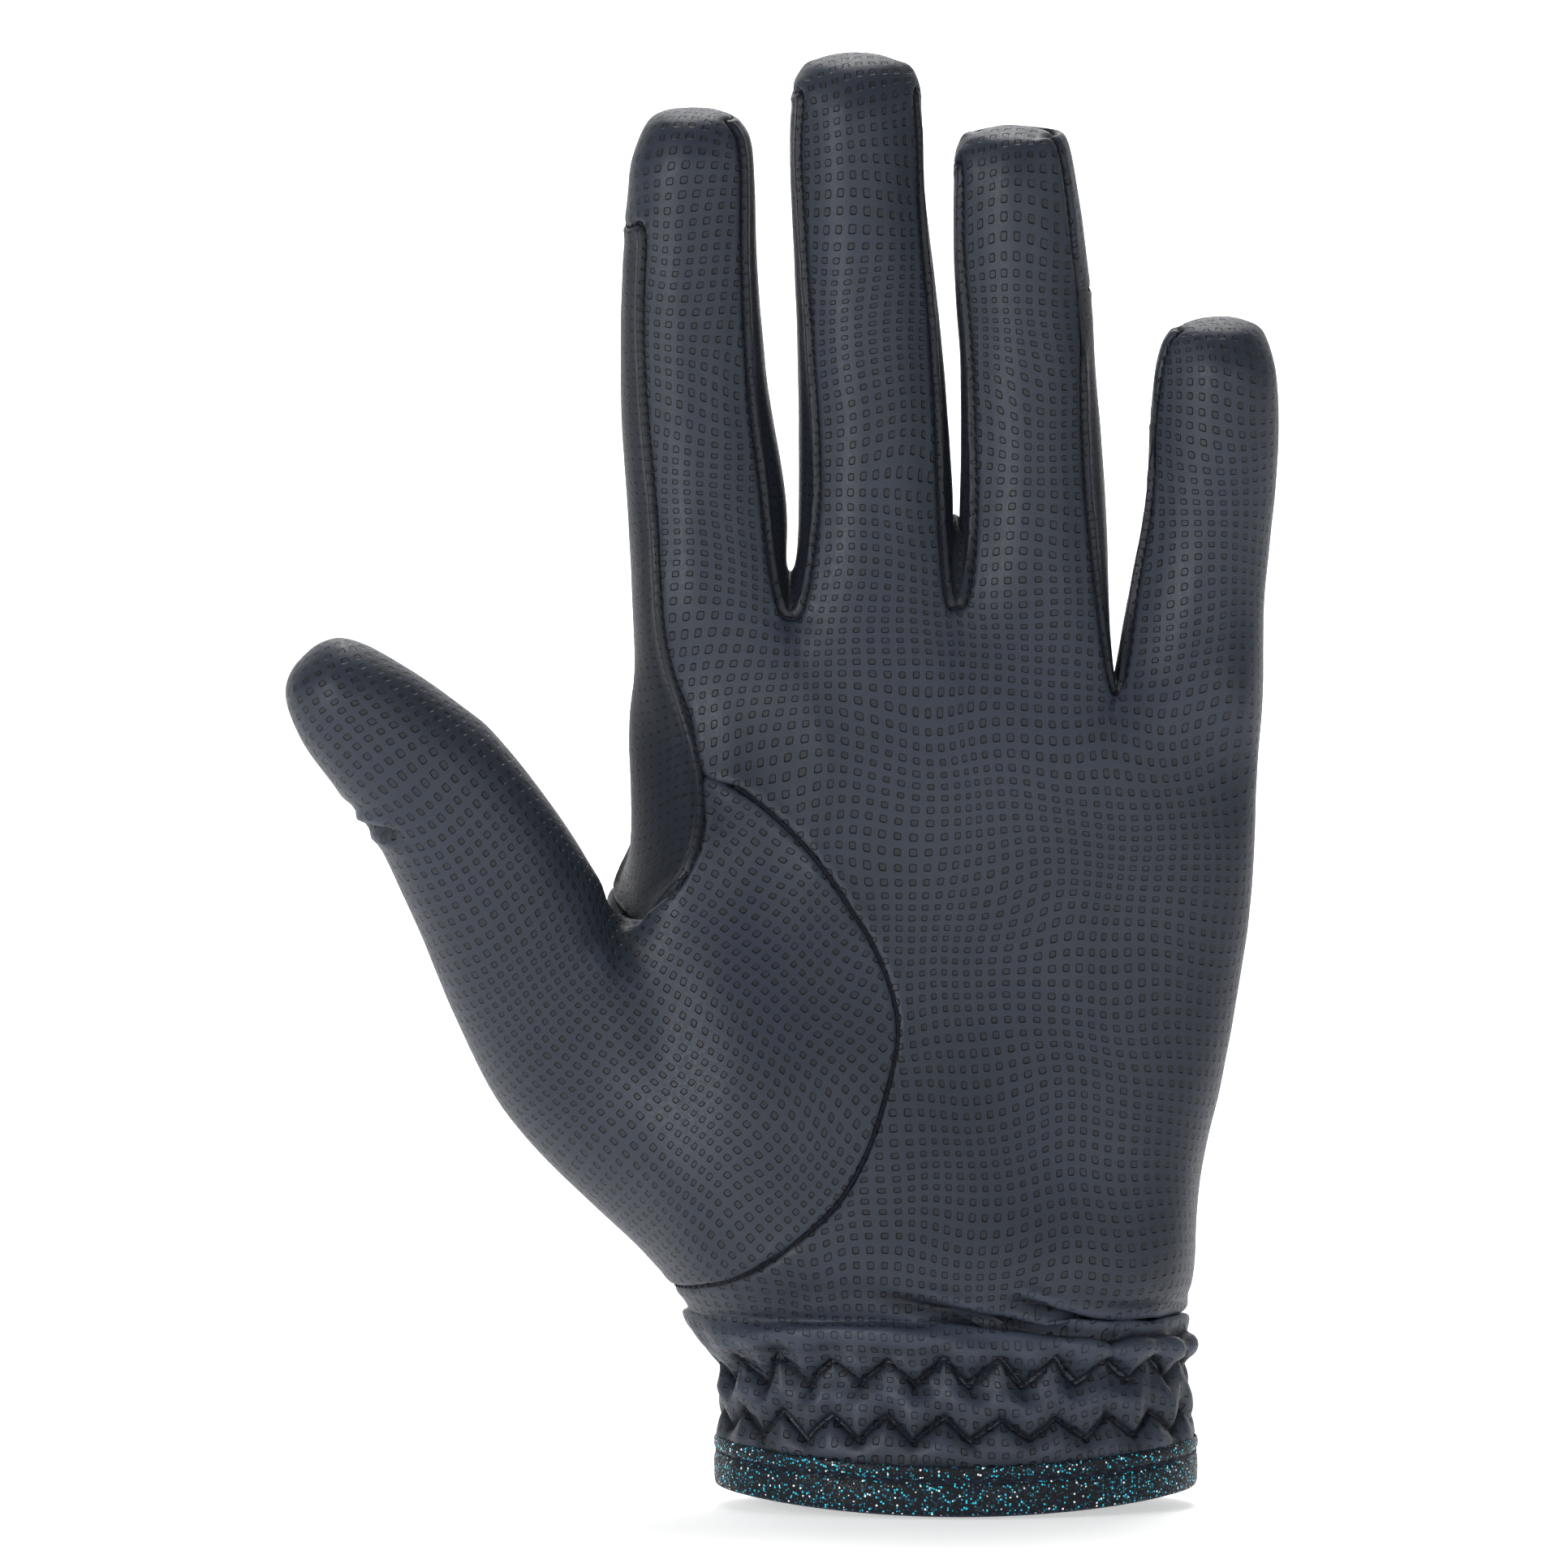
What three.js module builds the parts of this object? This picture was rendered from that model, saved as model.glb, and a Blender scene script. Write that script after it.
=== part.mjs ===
// A left-hand riding glove of embossed synthetic leather in its worn form, with the fingers up and the palm
// towards -Y. Lengths are in millimetres. +X points to the little finger and +Z to the fingertips. The origin
// is in the wrist opening, where the hand goes in, level with the lowest point of the hem.
//
// The whole glove is one smooth skin. A coarse cage of four-sided faces is laid through the tables below,
// refined once by Catmull-Clark subdivision, gathered at the wrist, and divided along its seams into leather
// panels. Each panel is a closed solid as thick as the leather, and neighbours keep the seam's gap.
import * as THREE from "three";

// Leather and seams
const wall = 1.2;
const seamGap = 0.3;

// Hand of the glove, from the hem to the webs of the fingers
const palmWidth = 92.8;
const palmLength = 134;
const palmDepth = 27;
const fingerLineDrop = 0.1;

// Cuff, gathered by two rows of zigzag stitching
const cuffWidth = 69.6;
const cuffDepth = 46;
const hemDip = 2.5;
const ribDepth = 0.55;
const foldDepth = 1.7;

// Tape folded round the hem
const bindingHeight = 7.6;
const bindingThickness = 0.8;
const bindingClearance = 0.35;
const bindingGroove = 0.3;

// Fingers: length above the webs, width near the middle, thickness as a share of the width, and how far a
// fingertip bends forward
const indexLength = 74.3;
const indexWidth = 21.4;
const middleLength = 81.6;
const middleWidth = 21.4;
const ringLength = 76.2;
const ringWidth = 20.2;
const littleLength = 54.4;
const littleWidth = 18.9;
const fingerThickness = 0.88;
const fingerBend = 9;

// Thumb: length from its root at the palm's side, width, and how far its tip reaches forward
const thumbLength = 67;
const thumbWidth = 24.8;
const thumbForward = 25;

// Rings of the cuff, from the hem up: height as a share of the palm's length; width, depth and sideways shift
// as shares of the cuff's; depth of the gathers and of the fold as shares of theirs.
const cuffRows = [
  { at: 0.027, wide: 1.0, deep: 1.0, shift: 0, rib: 0, fold: 0 },
  { at: 0.102, wide: 0.996, deep: 0.992, shift: -0.002, rib: 0.3, fold: 0 },
  { at: 0.152, wide: 0.985, deep: 0.94, shift: -0.009, rib: 1, fold: 0 },
  { at: 0.183, wide: 1.033, deep: 0.97, shift: -0.028, rib: 0.3, fold: -0.35 },
  { at: 0.211, wide: 1.06, deep: 0.93, shift: -0.05, rib: 0, fold: 1 },
];

// Rings of the palm: height as a share of the palm's length; edges and the seam columns in front and at the
// rear as shares of its width; depths in front and at the back as shares of its depth. The front curve ends
// at "flank" on the thumb's side. Rows with no left edge open into the thumb.
const palmRows = [
  { at: 0.241, left: -0.449, right: 0.376, seam: -0.43, rear: -0.41, flank: -0.45, front: 0.79, back: 0.74 },
  { at: 0.343, left: null, right: 0.387, seam: -0.452, rear: -0.45, flank: -0.6, front: 0.72, back: 0.68 },
  { at: 0.455, left: null, right: 0.417, seam: -0.458, rear: -0.475, flank: -0.7, front: 0.62, back: 0.62 },
  { at: 0.575, left: null, right: 0.445, seam: -0.45, rear: -0.5, flank: -0.72, front: 0.56, back: 0.58 },
  { at: 0.7, left: -0.52, right: 0.467, seam: -0.425, rear: -0.51, flank: -0.6, front: 0.53, back: 0.55 },
  { at: 0.81, left: -0.517, right: 0.478, seam: -0.402, rear: -0.47, flank: -0.54, front: 0.51, back: 0.53 },
  { at: 0.905, left: -0.513, right: 0.482, seam: -0.445, rear: -0.462, flank: -0.52, front: 0.47, back: 0.5 },
];

// Where the side panel's tongue reaches down into the crotch of the thumb: shares of the palm's width, depth
// and length, from the front over the crotch to the back.
const tongue = [
  { x: -0.424, y: -0.56, z: 0.697 },
  { x: -0.498, y: -0.33, z: 0.634 },
  { x: -0.546, y: 0.2, z: 0.68 },
];

// Swellings of the palm: centre and reach as shares of its width and length, height as a share of its depth
const mounds = [
  { x: -0.33, z: 0.45, across: 0.22, along: 0.18, height: 0.2 },
  { x: 0.27, z: 0.45, across: 0.17, along: 0.25, height: 0.12 },
  { x: 0.06, z: 0.66, across: 0.2, along: 0.17, height: -0.08 },
];

// Webs between neighbouring fingers: place of the seams' meeting, rise of the gusset behind it, distance
// between the two seams and between the two gusset walls, as shares of the palm's width and length.
const webs = [
  { x: -0.2625, z: 0.987, rise: 0.05, seams: 0.038, walls: 0.012 },
  { x: -0.0005, z: 0.9925, rise: 0.095, seams: 0.03, walls: 0.009 },
  { x: 0.252, z: 0.909, rise: 0.022, seams: 0.024, walls: 0.011 },
];
const indexEdge = { side: -0.515, seam: -0.468, z: 0.98 };
const littleEdge = { side: 0.49, seam: 0.452, z: 0.89 };

// Fingers. Stations: height and sideways shift as shares of the length, width as a share of the finger's.
// Each side names its panel, the share of the length where that panel ends, the panel above it, and the
// angle in degrees from the finger's side to the seam, at the root and at the tip.
const fingers = [
  {
    length: indexLength,
    width: indexWidth,
    left: { panel: "index_side", end: 0.77, above: "palm", root: 52, tip: 42 },
    right: { panel: "gusset_index_middle", end: 1, above: "palm", root: 48, tip: 34 },
    stations: [
      { at: 0.21, shift: -0.028, width: 1.104 },
      { at: 0.47, shift: -0.054, width: 1.012 },
      { at: 0.77, shift: -0.06, width: 0.905 },
      { at: 1, shift: -0.055, width: 0.84 },
    ],
  },
  {
    length: middleLength,
    width: middleWidth,
    left: { panel: "gusset_index_middle", end: 0.9, above: "palm", root: 46, tip: 28 },
    right: { panel: "gusset_middle_ring", end: 0.9, above: "palm", root: 40, tip: 16 },
    stations: [
      { at: 0.22, shift: 0.002, width: 1.065 },
      { at: 0.48, shift: -0.011, width: 0.992 },
      { at: 0.74, shift: -0.03, width: 0.925 },
      { at: 1, shift: -0.033, width: 0.9 },
    ],
  },
  {
    length: ringLength,
    width: ringWidth,
    left: { panel: "gusset_middle_ring", end: 0.9, above: "palm", root: 42, tip: 26 },
    right: { panel: "gusset_ring_little", end: 0.675, above: "back", root: 44, tip: 32 },
    stations: [
      { at: 0.26, shift: -0.006, width: 1.07 },
      { at: 0.5, shift: -0.014, width: 0.994 },
      { at: 0.675, shift: -0.024, width: 0.98 },
      { at: 1, shift: -0.044, width: 0.9 },
    ],
  },
  {
    length: littleLength,
    width: littleWidth,
    left: { panel: "gusset_ring_little", end: 0.71, above: "back", root: 26, tip: 20 },
    right: { panel: "palm", end: 1, above: "palm", root: 38, tip: 36 },
    stations: [
      { at: 0.22, shift: 0.044, width: 1.07 },
      { at: 0.47, shift: 0.076, width: 1.0 },
      { at: 0.71, shift: 0.095, width: 1.0 },
      { at: 1, shift: 0.1, width: 0.92 },
    ],
  },
];
// Blunt fingertip: distance below the tip and width, as shares of the width there
const tipRings = [
  { below: 0.29, width: 0.965 },
  { below: 0.075, width: 0.66 },
];

// Thumb sections from the root to the tip: sideways and upwards from the root as shares of the length,
// forward as a share of thumbForward, half width and half depth as shares of the width, and tilt in degrees.
const thumbRoot = { x: -0.505, z: 0.534 };
const thumbSections = [
  { x: -0.126, z: -0.035, forward: 0.14, wide: 0.794, deep: 0.59, tilt: 77 },
  { x: -0.219, z: 0.092, forward: 0.26, wide: 0.644, deep: 0.55, tilt: 55 },
  { x: -0.29, z: 0.245, forward: 0.4, wide: 0.549, deep: 0.51, tilt: 33 },
  { x: -0.362, z: 0.379, forward: 0.55, wide: 0.517, deep: 0.465, tilt: 33 },
  { x: -0.452, z: 0.517, forward: 0.7, wide: 0.474, deep: 0.425, tilt: 37.8 },
  { x: -0.534, z: 0.597, forward: 0.8, wide: 0.44, deep: 0.4, tilt: 41 },
  { x: -0.673, z: 0.732, forward: 0.94, wide: 0.35, deep: 0.345, tilt: 45 },
  { x: -0.718, z: 0.776, forward: 0.99, wide: 0.235, deep: 0.23, tilt: 45 },
];
const thumbTip = { x: -0.739, z: 0.797, forward: 1.0 };

// The thumb's seam across the palm, from the side panel's seam round to the wrist: shares of width and length
const thumbSeam = [
  { x: -0.402, z: 0.801 },
  { x: -0.33, z: 0.781 },
  { x: -0.226, z: 0.713 },
  { x: -0.153, z: 0.639 },
  { x: -0.114, z: 0.594 },
  { x: -0.096, z: 0.537 },
  { x: -0.101, z: 0.485 },
  { x: -0.142, z: 0.394 },
  { x: -0.177, z: 0.349 },
  { x: -0.229, z: 0.31 },
  { x: -0.299, z: 0.274 },
  { x: -0.356, z: 0.252 },
  { x: -0.43, z: 0.24 },
];

// Roundness: the palm's section, how far its outer columns keep from the edge, a finger's root on its middle
// line and at its seams as shares of its width, and how late a finger bends
const sectionPower = 2.4;
const edgeInset = 0.1;
const rootCrown = 0.53;
const rootCorner = 0.43;
const bendPower = 1.6;
// The front view in which the tables give the fingers and the thumb: its distance, and its middle as shares
// of the palm's width and length
const viewDistance = 1050;
const viewMiddle = { x: -0.274, z: 0.792 };
// The cuff's fold is deepest at the front towards the little finger, and fades round the wrist
const foldFacing = new THREE.Vector2(0.7, -0.71);
const foldFade = 1.5;
// Where the palm's rows begin to slope towards the little finger, and where they slope fully
const slopeFrom = 0.4;
const slopeTo = 0.95;
// Width of the columns that lead to the webs, beside the others, at the finger line
const webColumn = 0.35;

// Columns of the cage's rings, counted from the thumb's side across the front and home across the back
const COLUMNS = 26;
const LEFT_SIDE = 0;
const FRONT_SEAM = LEFT_SIDE + 1;
const RIGHT_SIDE = COLUMNS / 2;
const BACK_SEAM = COLUMNS - 1;

const { degToRad, lerp, clamp } = THREE.MathUtils;
const point = (x, y, z) => new THREE.Vector3(x, y, z);

// The cage: places that the finished skin passes through, the gathering and column of each, and its faces
const cage = { points: [], ribs: [], columns: [], faces: [] };

function addPoint(place, rib = 0, column = 0.5) {
  cage.points.push(place);
  cage.ribs.push(rib);
  cage.columns.push(column);
  return cage.points.length - 1;
}

// What reaches forward looks larger in the front view, so its true place is nearer to the view's middle
function addSeenPoint(place) {
  const share = 1 + place.y / viewDistance;
  place.x = lerp(viewMiddle.x * palmWidth, place.x, share);
  place.z = lerp(viewMiddle.z * palmLength, place.z, share);
  return addPoint(place);
}

function addFace(corners, panel) {
  cage.faces.push({ corners, panel });
}

// Faces between two closed rings of equal count; panelAt names the panel of each, or null for none
function addBand(below, above, panelAt) {
  below.forEach((id, k) => {
    const next = (k + 1) % below.length;
    const panel = panelAt(k);
    if (panel) addFace([id, below[next], above[next], above[k]], panel);
  });
}

function hemCurve(wide, deep, shift) {
  const radiusX = (cuffWidth * wide) / 2;
  const radiusY = (cuffDepth * deep) / 2;
  return new THREE.EllipseCurve(shift * cuffWidth, 0, radiusX, radiusY, Math.PI, 3 * Math.PI);
}

// The hem hangs lower in front
function hemDrop(y, radiusY) {
  return y < 0 ? hemDip * (y / radiusY) ** 2 : 0;
}

function cuffRing({ at, wide, deep, shift, rib, fold }) {
  const radiusY = (cuffDepth * deep) / 2;
  const fade = clamp(1 - at / palmRows[0].at, 0, 1);
  const places = hemCurve(wide, deep, shift).getSpacedPoints(COLUMNS).slice(0, COLUMNS);
  return places.map((p, column) => {
    const outward = new THREE.Vector2(p.x / cuffWidth, p.y / cuffDepth).normalize();
    const facing = (1 + outward.dot(foldFacing)) / 2;
    const draw = fold * foldDepth * facing ** foldFade;
    const z = at * palmLength - hemDrop(p.y, radiusY) * fade;
    return addPoint(point(p.x - outward.x * draw, p.y - outward.y * draw, z), rib, column);
  });
}

function moundHeight(x, z) {
  let sum = 0;
  for (const mound of mounds) {
    const across = (x / palmWidth - mound.x) / mound.across;
    const along = (z / palmLength - mound.z) / mound.along;
    sum += mound.height * palmDepth * Math.exp(-(across ** 2) - along ** 2);
  }
  return sum;
}

// Depth at x of a rounded section between two edges
function sectionDepth(x, left, right, depth) {
  const centre = (left + right) / 2;
  const u = Math.min(Math.abs(x - centre) / ((right - left) / 2), 0.995);
  return depth * (1 - u ** sectionPower) ** (1 / sectionPower);
}

// Rows fall towards the little finger, more so near the fingers
function palmHeight(row, x) {
  const rise = clamp((row.at - slopeFrom) / (slopeTo - slopeFrom), 0, 1);
  return (row.at - fingerLineDrop * rise * clamp(x / palmWidth + 0.5, 0, 1)) * palmLength;
}

// The twelve columns across one face: three to a finger, and narrow ones that lead to the webs
function palmColumns(row, seam) {
  const right = row.right * palmWidth - edgeInset * palmDepth;
  const narrow = lerp(1, webColumn, row.at);
  const widths = [1, 1, narrow, 1, 1, narrow, 1, 1, narrow, 1, 1];
  const total = widths.reduce((a, b) => a + b, 0);
  const places = [seam * palmWidth];
  for (const width of widths) {
    places.push(places[places.length - 1] + ((right - seam * palmWidth) * width) / total);
  }
  return places;
}

function palmRing(row) {
  const ring = new Array(COLUMNS).fill(-1);
  const left = (row.left ?? row.flank) * palmWidth;
  const right = row.right * palmWidth;
  if (row.left !== null) ring[LEFT_SIDE] = addPoint(point(left, 0, palmHeight(row, left)));
  palmColumns(row, row.seam).forEach((x, i) => {
    const z = palmHeight(row, x);
    const depth = sectionDepth(x, row.flank * palmWidth, right, row.front * palmDepth);
    ring[FRONT_SEAM + i] = addPoint(point(x, -depth - moundHeight(x, z), z));
  });
  ring[RIGHT_SIDE] = addPoint(point(right, 0, palmHeight(row, right)));
  palmColumns(row, row.rear).forEach((x, i) => {
    const depth = sectionDepth(x, left, right, row.back * palmDepth);
    ring[BACK_SEAM - i] = addPoint(point(x, depth, palmHeight(row, x)));
  });
  return ring;
}

// Ring round a finger's root: left side, three in front, right side, three behind
function rootRing(finger, i) {
  const edge = (web, sign) => ({
    seam: (web.x + (sign * web.seams) / 2) * palmWidth,
    side: (web.x + (sign * web.walls) / 2) * palmWidth,
    z: web.z * palmLength,
    rise: web.rise * palmLength,
  });
  const outer = ({ seam, side, z }) => ({
    seam: seam * palmWidth,
    side: side * palmWidth,
    z: z * palmLength,
    rise: 0,
  });
  const left = i > 0 ? edge(webs[i - 1], 1) : outer(indexEdge);
  const right = i < webs.length ? edge(webs[i], -1) : outer(littleEdge);
  const middle = (left.seam + right.seam) / 2;
  const height = (left.z + right.z) / 2;
  const crown = rootCrown * finger.width;
  const corner = rootCorner * finger.width;
  return [
    addPoint(point(left.side, 0, left.z + left.rise)),
    addPoint(point(left.seam, -corner, left.z)),
    addPoint(point(middle, -crown, height)),
    addPoint(point(right.seam, -corner, right.z)),
    addPoint(point(right.side, 0, right.z + right.rise)),
    addPoint(point(right.seam, corner, right.z)),
    addPoint(point(middle, crown, height)),
    addPoint(point(left.seam, corner, left.z)),
  ];
}

function addFinger(finger, root) {
  const below = (k) => cage.points[root[k]];
  const rootX = (below(1).x + below(3).x) / 2;
  const rootZ = (below(1).z + below(3).z) / 2;
  const tip = finger.stations[finger.stations.length - 1];
  const tipWidth = tip.width * finger.width;
  const rows = finger.stations.slice(0, -1);
  for (const ring of tipRings) {
    const at = 1 - (ring.below * tipWidth) / finger.length;
    rows.push({ at, shift: tip.shift, width: ring.width * tip.width });
  }
  const centreOf = ({ at, shift }) =>
    point(rootX + shift * finger.length, -fingerBend * at ** bendPower, rootZ + at * finger.length);
  const centres = [...rows.map(centreOf), centreOf(tip)];
  let last = root;
  let at = 0;
  rows.forEach((row, k) => {
    const from = k ? centres[k - 1] : point(rootX, 0, rootZ);
    const direction = centres[k + 1].clone().sub(from).normalize();
    const across = new THREE.Vector3().crossVectors(point(0, 1, 0), direction).normalize();
    const front = new THREE.Vector3().crossVectors(across, direction).normalize();
    const half = (row.width * finger.width) / 2;
    const left = lerp(finger.left.root, finger.left.tip, row.at);
    const right = lerp(finger.right.root, finger.right.tip, row.at);
    const turns = [180, 180 - left, 90, right, 0, -right, -90, left - 180];
    const ring = turns.map((turn) => {
      const place = centres[k].clone();
      place.addScaledVector(across, half * Math.cos(degToRad(turn)));
      place.addScaledVector(front, half * fingerThickness * Math.sin(degToRad(turn)));
      return addSeenPoint(place);
    });
    const panelOf = (side) => (at < side.end - 1e-6 ? side.panel : side.above);
    const leftPanel = panelOf(finger.left);
    const rightPanel = panelOf(finger.right);
    const panels = [leftPanel, "palm", "palm", rightPanel, rightPanel, "back", "back", leftPanel];
    addBand(last, ring, (q) => panels[q]);
    last = ring;
    at = row.at;
  });
  const top = addSeenPoint(centres[centres.length - 1]);
  const [left, f0, f1, f2, right, b2, b1, b0] = last;
  addFace([left, f0, f1, top], "palm");
  addFace([top, f1, f2, right], "palm");
  addFace([b0, left, top, b1], "palm");
  addFace([b1, top, right, b2], "palm");
}

// The thumb grows from a loop of twelve points: five up the front, one above, five down the back, one below
function addThumb(rootLoop) {
  const angles = [-56, -28, 0, 28, 56, 90, 124, 152, 180, 208, 236, 270];
  const place = ({ x, z, forward }) =>
    point(
      thumbRoot.x * palmWidth + x * thumbLength,
      -forward * thumbForward,
      thumbRoot.z * palmLength + z * thumbLength,
    );
  const centres = [...thumbSections, thumbTip].map(place);
  let last = rootLoop;
  thumbSections.forEach((section, k) => {
    const tilt = degToRad(section.tilt);
    const upward = point(Math.cos(tilt), 0, Math.sin(tilt));
    const direction = centres[k + 1].clone().sub(centres[Math.max(k - 1, 0)]).normalize();
    const front = new THREE.Vector3().crossVectors(upward, direction).normalize();
    const ring = angles.map((turn) => {
      const spot = centres[k].clone();
      spot.addScaledVector(upward, section.wide * thumbWidth * Math.sin(degToRad(turn)));
      spot.addScaledVector(front, section.deep * thumbWidth * Math.cos(degToRad(turn)));
      return addSeenPoint(spot);
    });
    addBand(last, ring, () => "thumb");
    last = ring;
  });
  // Two rows of four faces close the tip
  const frontRow = last.slice(0, 5);
  const backRow = last.slice(6, 11).reverse();
  const { wide, tilt } = thumbSections[thumbSections.length - 1];
  const along = point(Math.cos(degToRad(tilt)), 0, Math.sin(degToRad(tilt)));
  const inner = [-1, 0, 1].map((step) => {
    const reach = step * 0.45 * wide * thumbWidth;
    return addSeenPoint(centres[centres.length - 1].clone().addScaledVector(along, reach));
  });
  const ridge = [last[11], ...inner, last[5]];
  for (let i = 0; i < 4; i++) {
    addFace([frontRow[i], frontRow[i + 1], ridge[i + 1], ridge[i]], "thumb");
    addFace([ridge[i], ridge[i + 1], backRow[i + 1], backRow[i]], "thumb");
  }
}

function buildCage() {
  const low = cuffRows.length + palmRows.findIndex((row) => row.left === null) - 1;
  const high = low + palmRows.filter((row) => row.left === null).length + 1;
  const rings = [...cuffRows.map(cuffRing), ...palmRows.map(palmRing)];
  [FRONT_SEAM, LEFT_SIDE, BACK_SEAM].forEach((column, i) => {
    const { x, y, z } = tongue[i];
    cage.points[rings[high][column]].set(x * palmWidth, y * palmDepth, z * palmLength);
  });

  const roots = fingers.map(rootRing);
  const knuckles = new Array(COLUMNS).fill(-1);
  knuckles[LEFT_SIDE] = roots[0][0];
  knuckles[RIGHT_SIDE] = roots[3][4];
  roots.forEach((root, i) => {
    for (let k = 0; k < 3; k++) {
      knuckles[FRONT_SEAM + 3 * i + k] = root[1 + k];
      knuckles[BACK_SEAM - 3 * i - k] = root[7 - k];
    }
  });
  rings.push(knuckles);

  for (let r = 0; r + 1 < rings.length; r++) {
    addBand(rings[r], rings[r + 1], (column) => {
      const onSide = column === LEFT_SIDE || column === BACK_SEAM;
      if (onSide && r >= high) return "index_side";
      if (onSide && r >= low) return null;
      if (column > RIGHT_SIDE && !onSide) return "back";
      return r >= low && r <= high && column < RIGHT_SIDE ? "thenar" : "palm";
    });
  }
  const gussets = fingers.map((finger) => finger.right.panel);
  webs.forEach((web, i) => {
    const a = roots[i];
    const b = roots[i + 1];
    addFace([a[3], b[1], b[0], a[4]], gussets[i]);
    addFace([a[4], b[0], b[7], a[5]], gussets[i]);
  });
  fingers.forEach((finger, i) => addFinger(finger, roots[i]));

  const loop = [];
  for (let r = low; r <= high; r++) loop.push(rings[r][FRONT_SEAM]);
  loop.push(rings[high][LEFT_SIDE]);
  for (let r = high; r >= low; r--) loop.push(rings[r][BACK_SEAM]);
  loop.push(rings[low][LEFT_SIDE]);
  addThumb(loop);
}

const edgeKey = (a, b) => Math.min(a, b) + "_" + Math.max(a, b);
const otherEnd = (edge, id) => (edge.a === id ? edge.b : edge.a);

// Each edge with the faces on it, and the edges and faces round each point
function connect(mesh) {
  const edges = new Map();
  const around = mesh.points.map(() => ({ edges: [], faces: [] }));
  mesh.faces.forEach((face, f) => {
    face.corners.forEach((a, k) => {
      const b = face.corners[(k + 1) % face.corners.length];
      const key = edgeKey(a, b);
      if (!edges.has(key)) {
        const edge = { a, b, faces: [] };
        edges.set(key, edge);
        around[a].edges.push(edge);
        around[b].edges.push(edge);
      }
      edges.get(key).faces.push(f);
      around[a].faces.push(f);
    });
  });
  return { edges, around };
}

// Where each point comes to rest on the smooth skin when subdivision goes on for ever
function restingPlaces(mesh, around) {
  return mesh.points.map((here, id) => {
    const { edges, faces } = around[id];
    const rim = edges.filter((edge) => edge.faces.length === 1);
    if (rim.length) {
      const sum = here.clone().multiplyScalar(4);
      for (const edge of rim) sum.add(mesh.points[otherEnd(edge, id)]);
      return sum.divideScalar(6);
    }
    const n = edges.length;
    const sum = here.clone().multiplyScalar(n * n);
    for (const edge of edges) sum.addScaledVector(mesh.points[otherEnd(edge, id)], 4);
    for (const f of faces) {
      const { corners } = mesh.faces[f];
      sum.add(mesh.points[corners[(corners.indexOf(id) + 2) % 4]]);
    }
    return sum.divideScalar(n * (n + 5));
  });
}

// Moves the cage's points until the smooth skin passes through the places that the tables give
function fitCage(mesh) {
  const { around } = connect(mesh);
  const target = mesh.points.map((p) => p.clone());
  for (let pass = 0; pass < 30; pass++) {
    restingPlaces(mesh, around).forEach((rest, id) => mesh.points[id].add(target[id]).sub(rest));
  }
}

// One Catmull-Clark step, with the new points then set on the smooth skin. Ribs and columns are averaged.
function subdivide(mesh) {
  const { edges, around } = connect(mesh);
  const fine = { points: [], ribs: [], columns: [], faces: [] };
  const mean = (values) => values.reduce((a, b) => a + b, 0) / values.length;
  const add = (place, from) => {
    fine.points.push(place);
    fine.ribs.push(mean(from.map((id) => mesh.ribs[id])));
    fine.columns.push(mean(from.map((id) => mesh.columns[id])));
    return fine.points.length - 1;
  };
  const centres = mesh.faces.map(({ corners }) => {
    const sum = point(0, 0, 0);
    for (const id of corners) sum.add(mesh.points[id]);
    return sum.divideScalar(corners.length);
  });
  mesh.points.forEach((here, id) => {
    const rim = around[id].edges.filter((edge) => edge.faces.length === 1);
    const moved = here.clone();
    if (rim.length) {
      moved.multiplyScalar(6);
      for (const edge of rim) moved.add(mesh.points[otherEnd(edge, id)]);
      moved.divideScalar(8);
    } else {
      const n = around[id].edges.length;
      moved.multiplyScalar(n - 2);
      for (const edge of around[id].edges) moved.addScaledVector(mesh.points[otherEnd(edge, id)], 1 / n);
      for (const f of around[id].faces) moved.addScaledVector(centres[f], 1 / n);
      moved.divideScalar(n);
    }
    add(moved, [id]);
  });
  const centreIds = centres.map((centre, f) => add(centre, mesh.faces[f].corners));
  for (const edge of edges.values()) {
    const middle = mesh.points[edge.a].clone().add(mesh.points[edge.b]);
    if (edge.faces.length === 2) {
      middle.add(centres[edge.faces[0]]).add(centres[edge.faces[1]]).divideScalar(4);
    } else {
      middle.divideScalar(2);
    }
    edge.middle = add(middle, [edge.a, edge.b]);
  }
  mesh.faces.forEach(({ corners, panel }, f) => {
    corners.forEach((id, k) => {
      const next = corners[(k + 1) % 4];
      const last = corners[(k + 3) % 4];
      const middles = [edges.get(edgeKey(id, next)).middle, edges.get(edgeKey(last, id)).middle];
      fine.faces.push({ corners: [id, middles[0], centreIds[f], middles[1]], panel });
    });
  });
  fine.points = restingPlaces(fine, connect(fine).around);
  return fine;
}

// Distance from the thumb's seam in the front view, positive on the thumb's side
function distanceFromSeam(line, place) {
  let nearest = Infinity;
  let sign = 1;
  for (let i = 0; i + 1 < line.length; i++) {
    const along = line[i + 1].clone().sub(line[i]);
    const offset = new THREE.Vector2(place.x, place.z).sub(line[i]);
    const t = clamp(offset.dot(along) / along.lengthSq(), 0, 1);
    const distance = offset.clone().addScaledVector(along, -t).length();
    if (distance < nearest) {
      nearest = distance;
      sign = along.cross(offset) < 0 ? 1 : -1;
    }
  }
  return nearest * sign;
}

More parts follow.
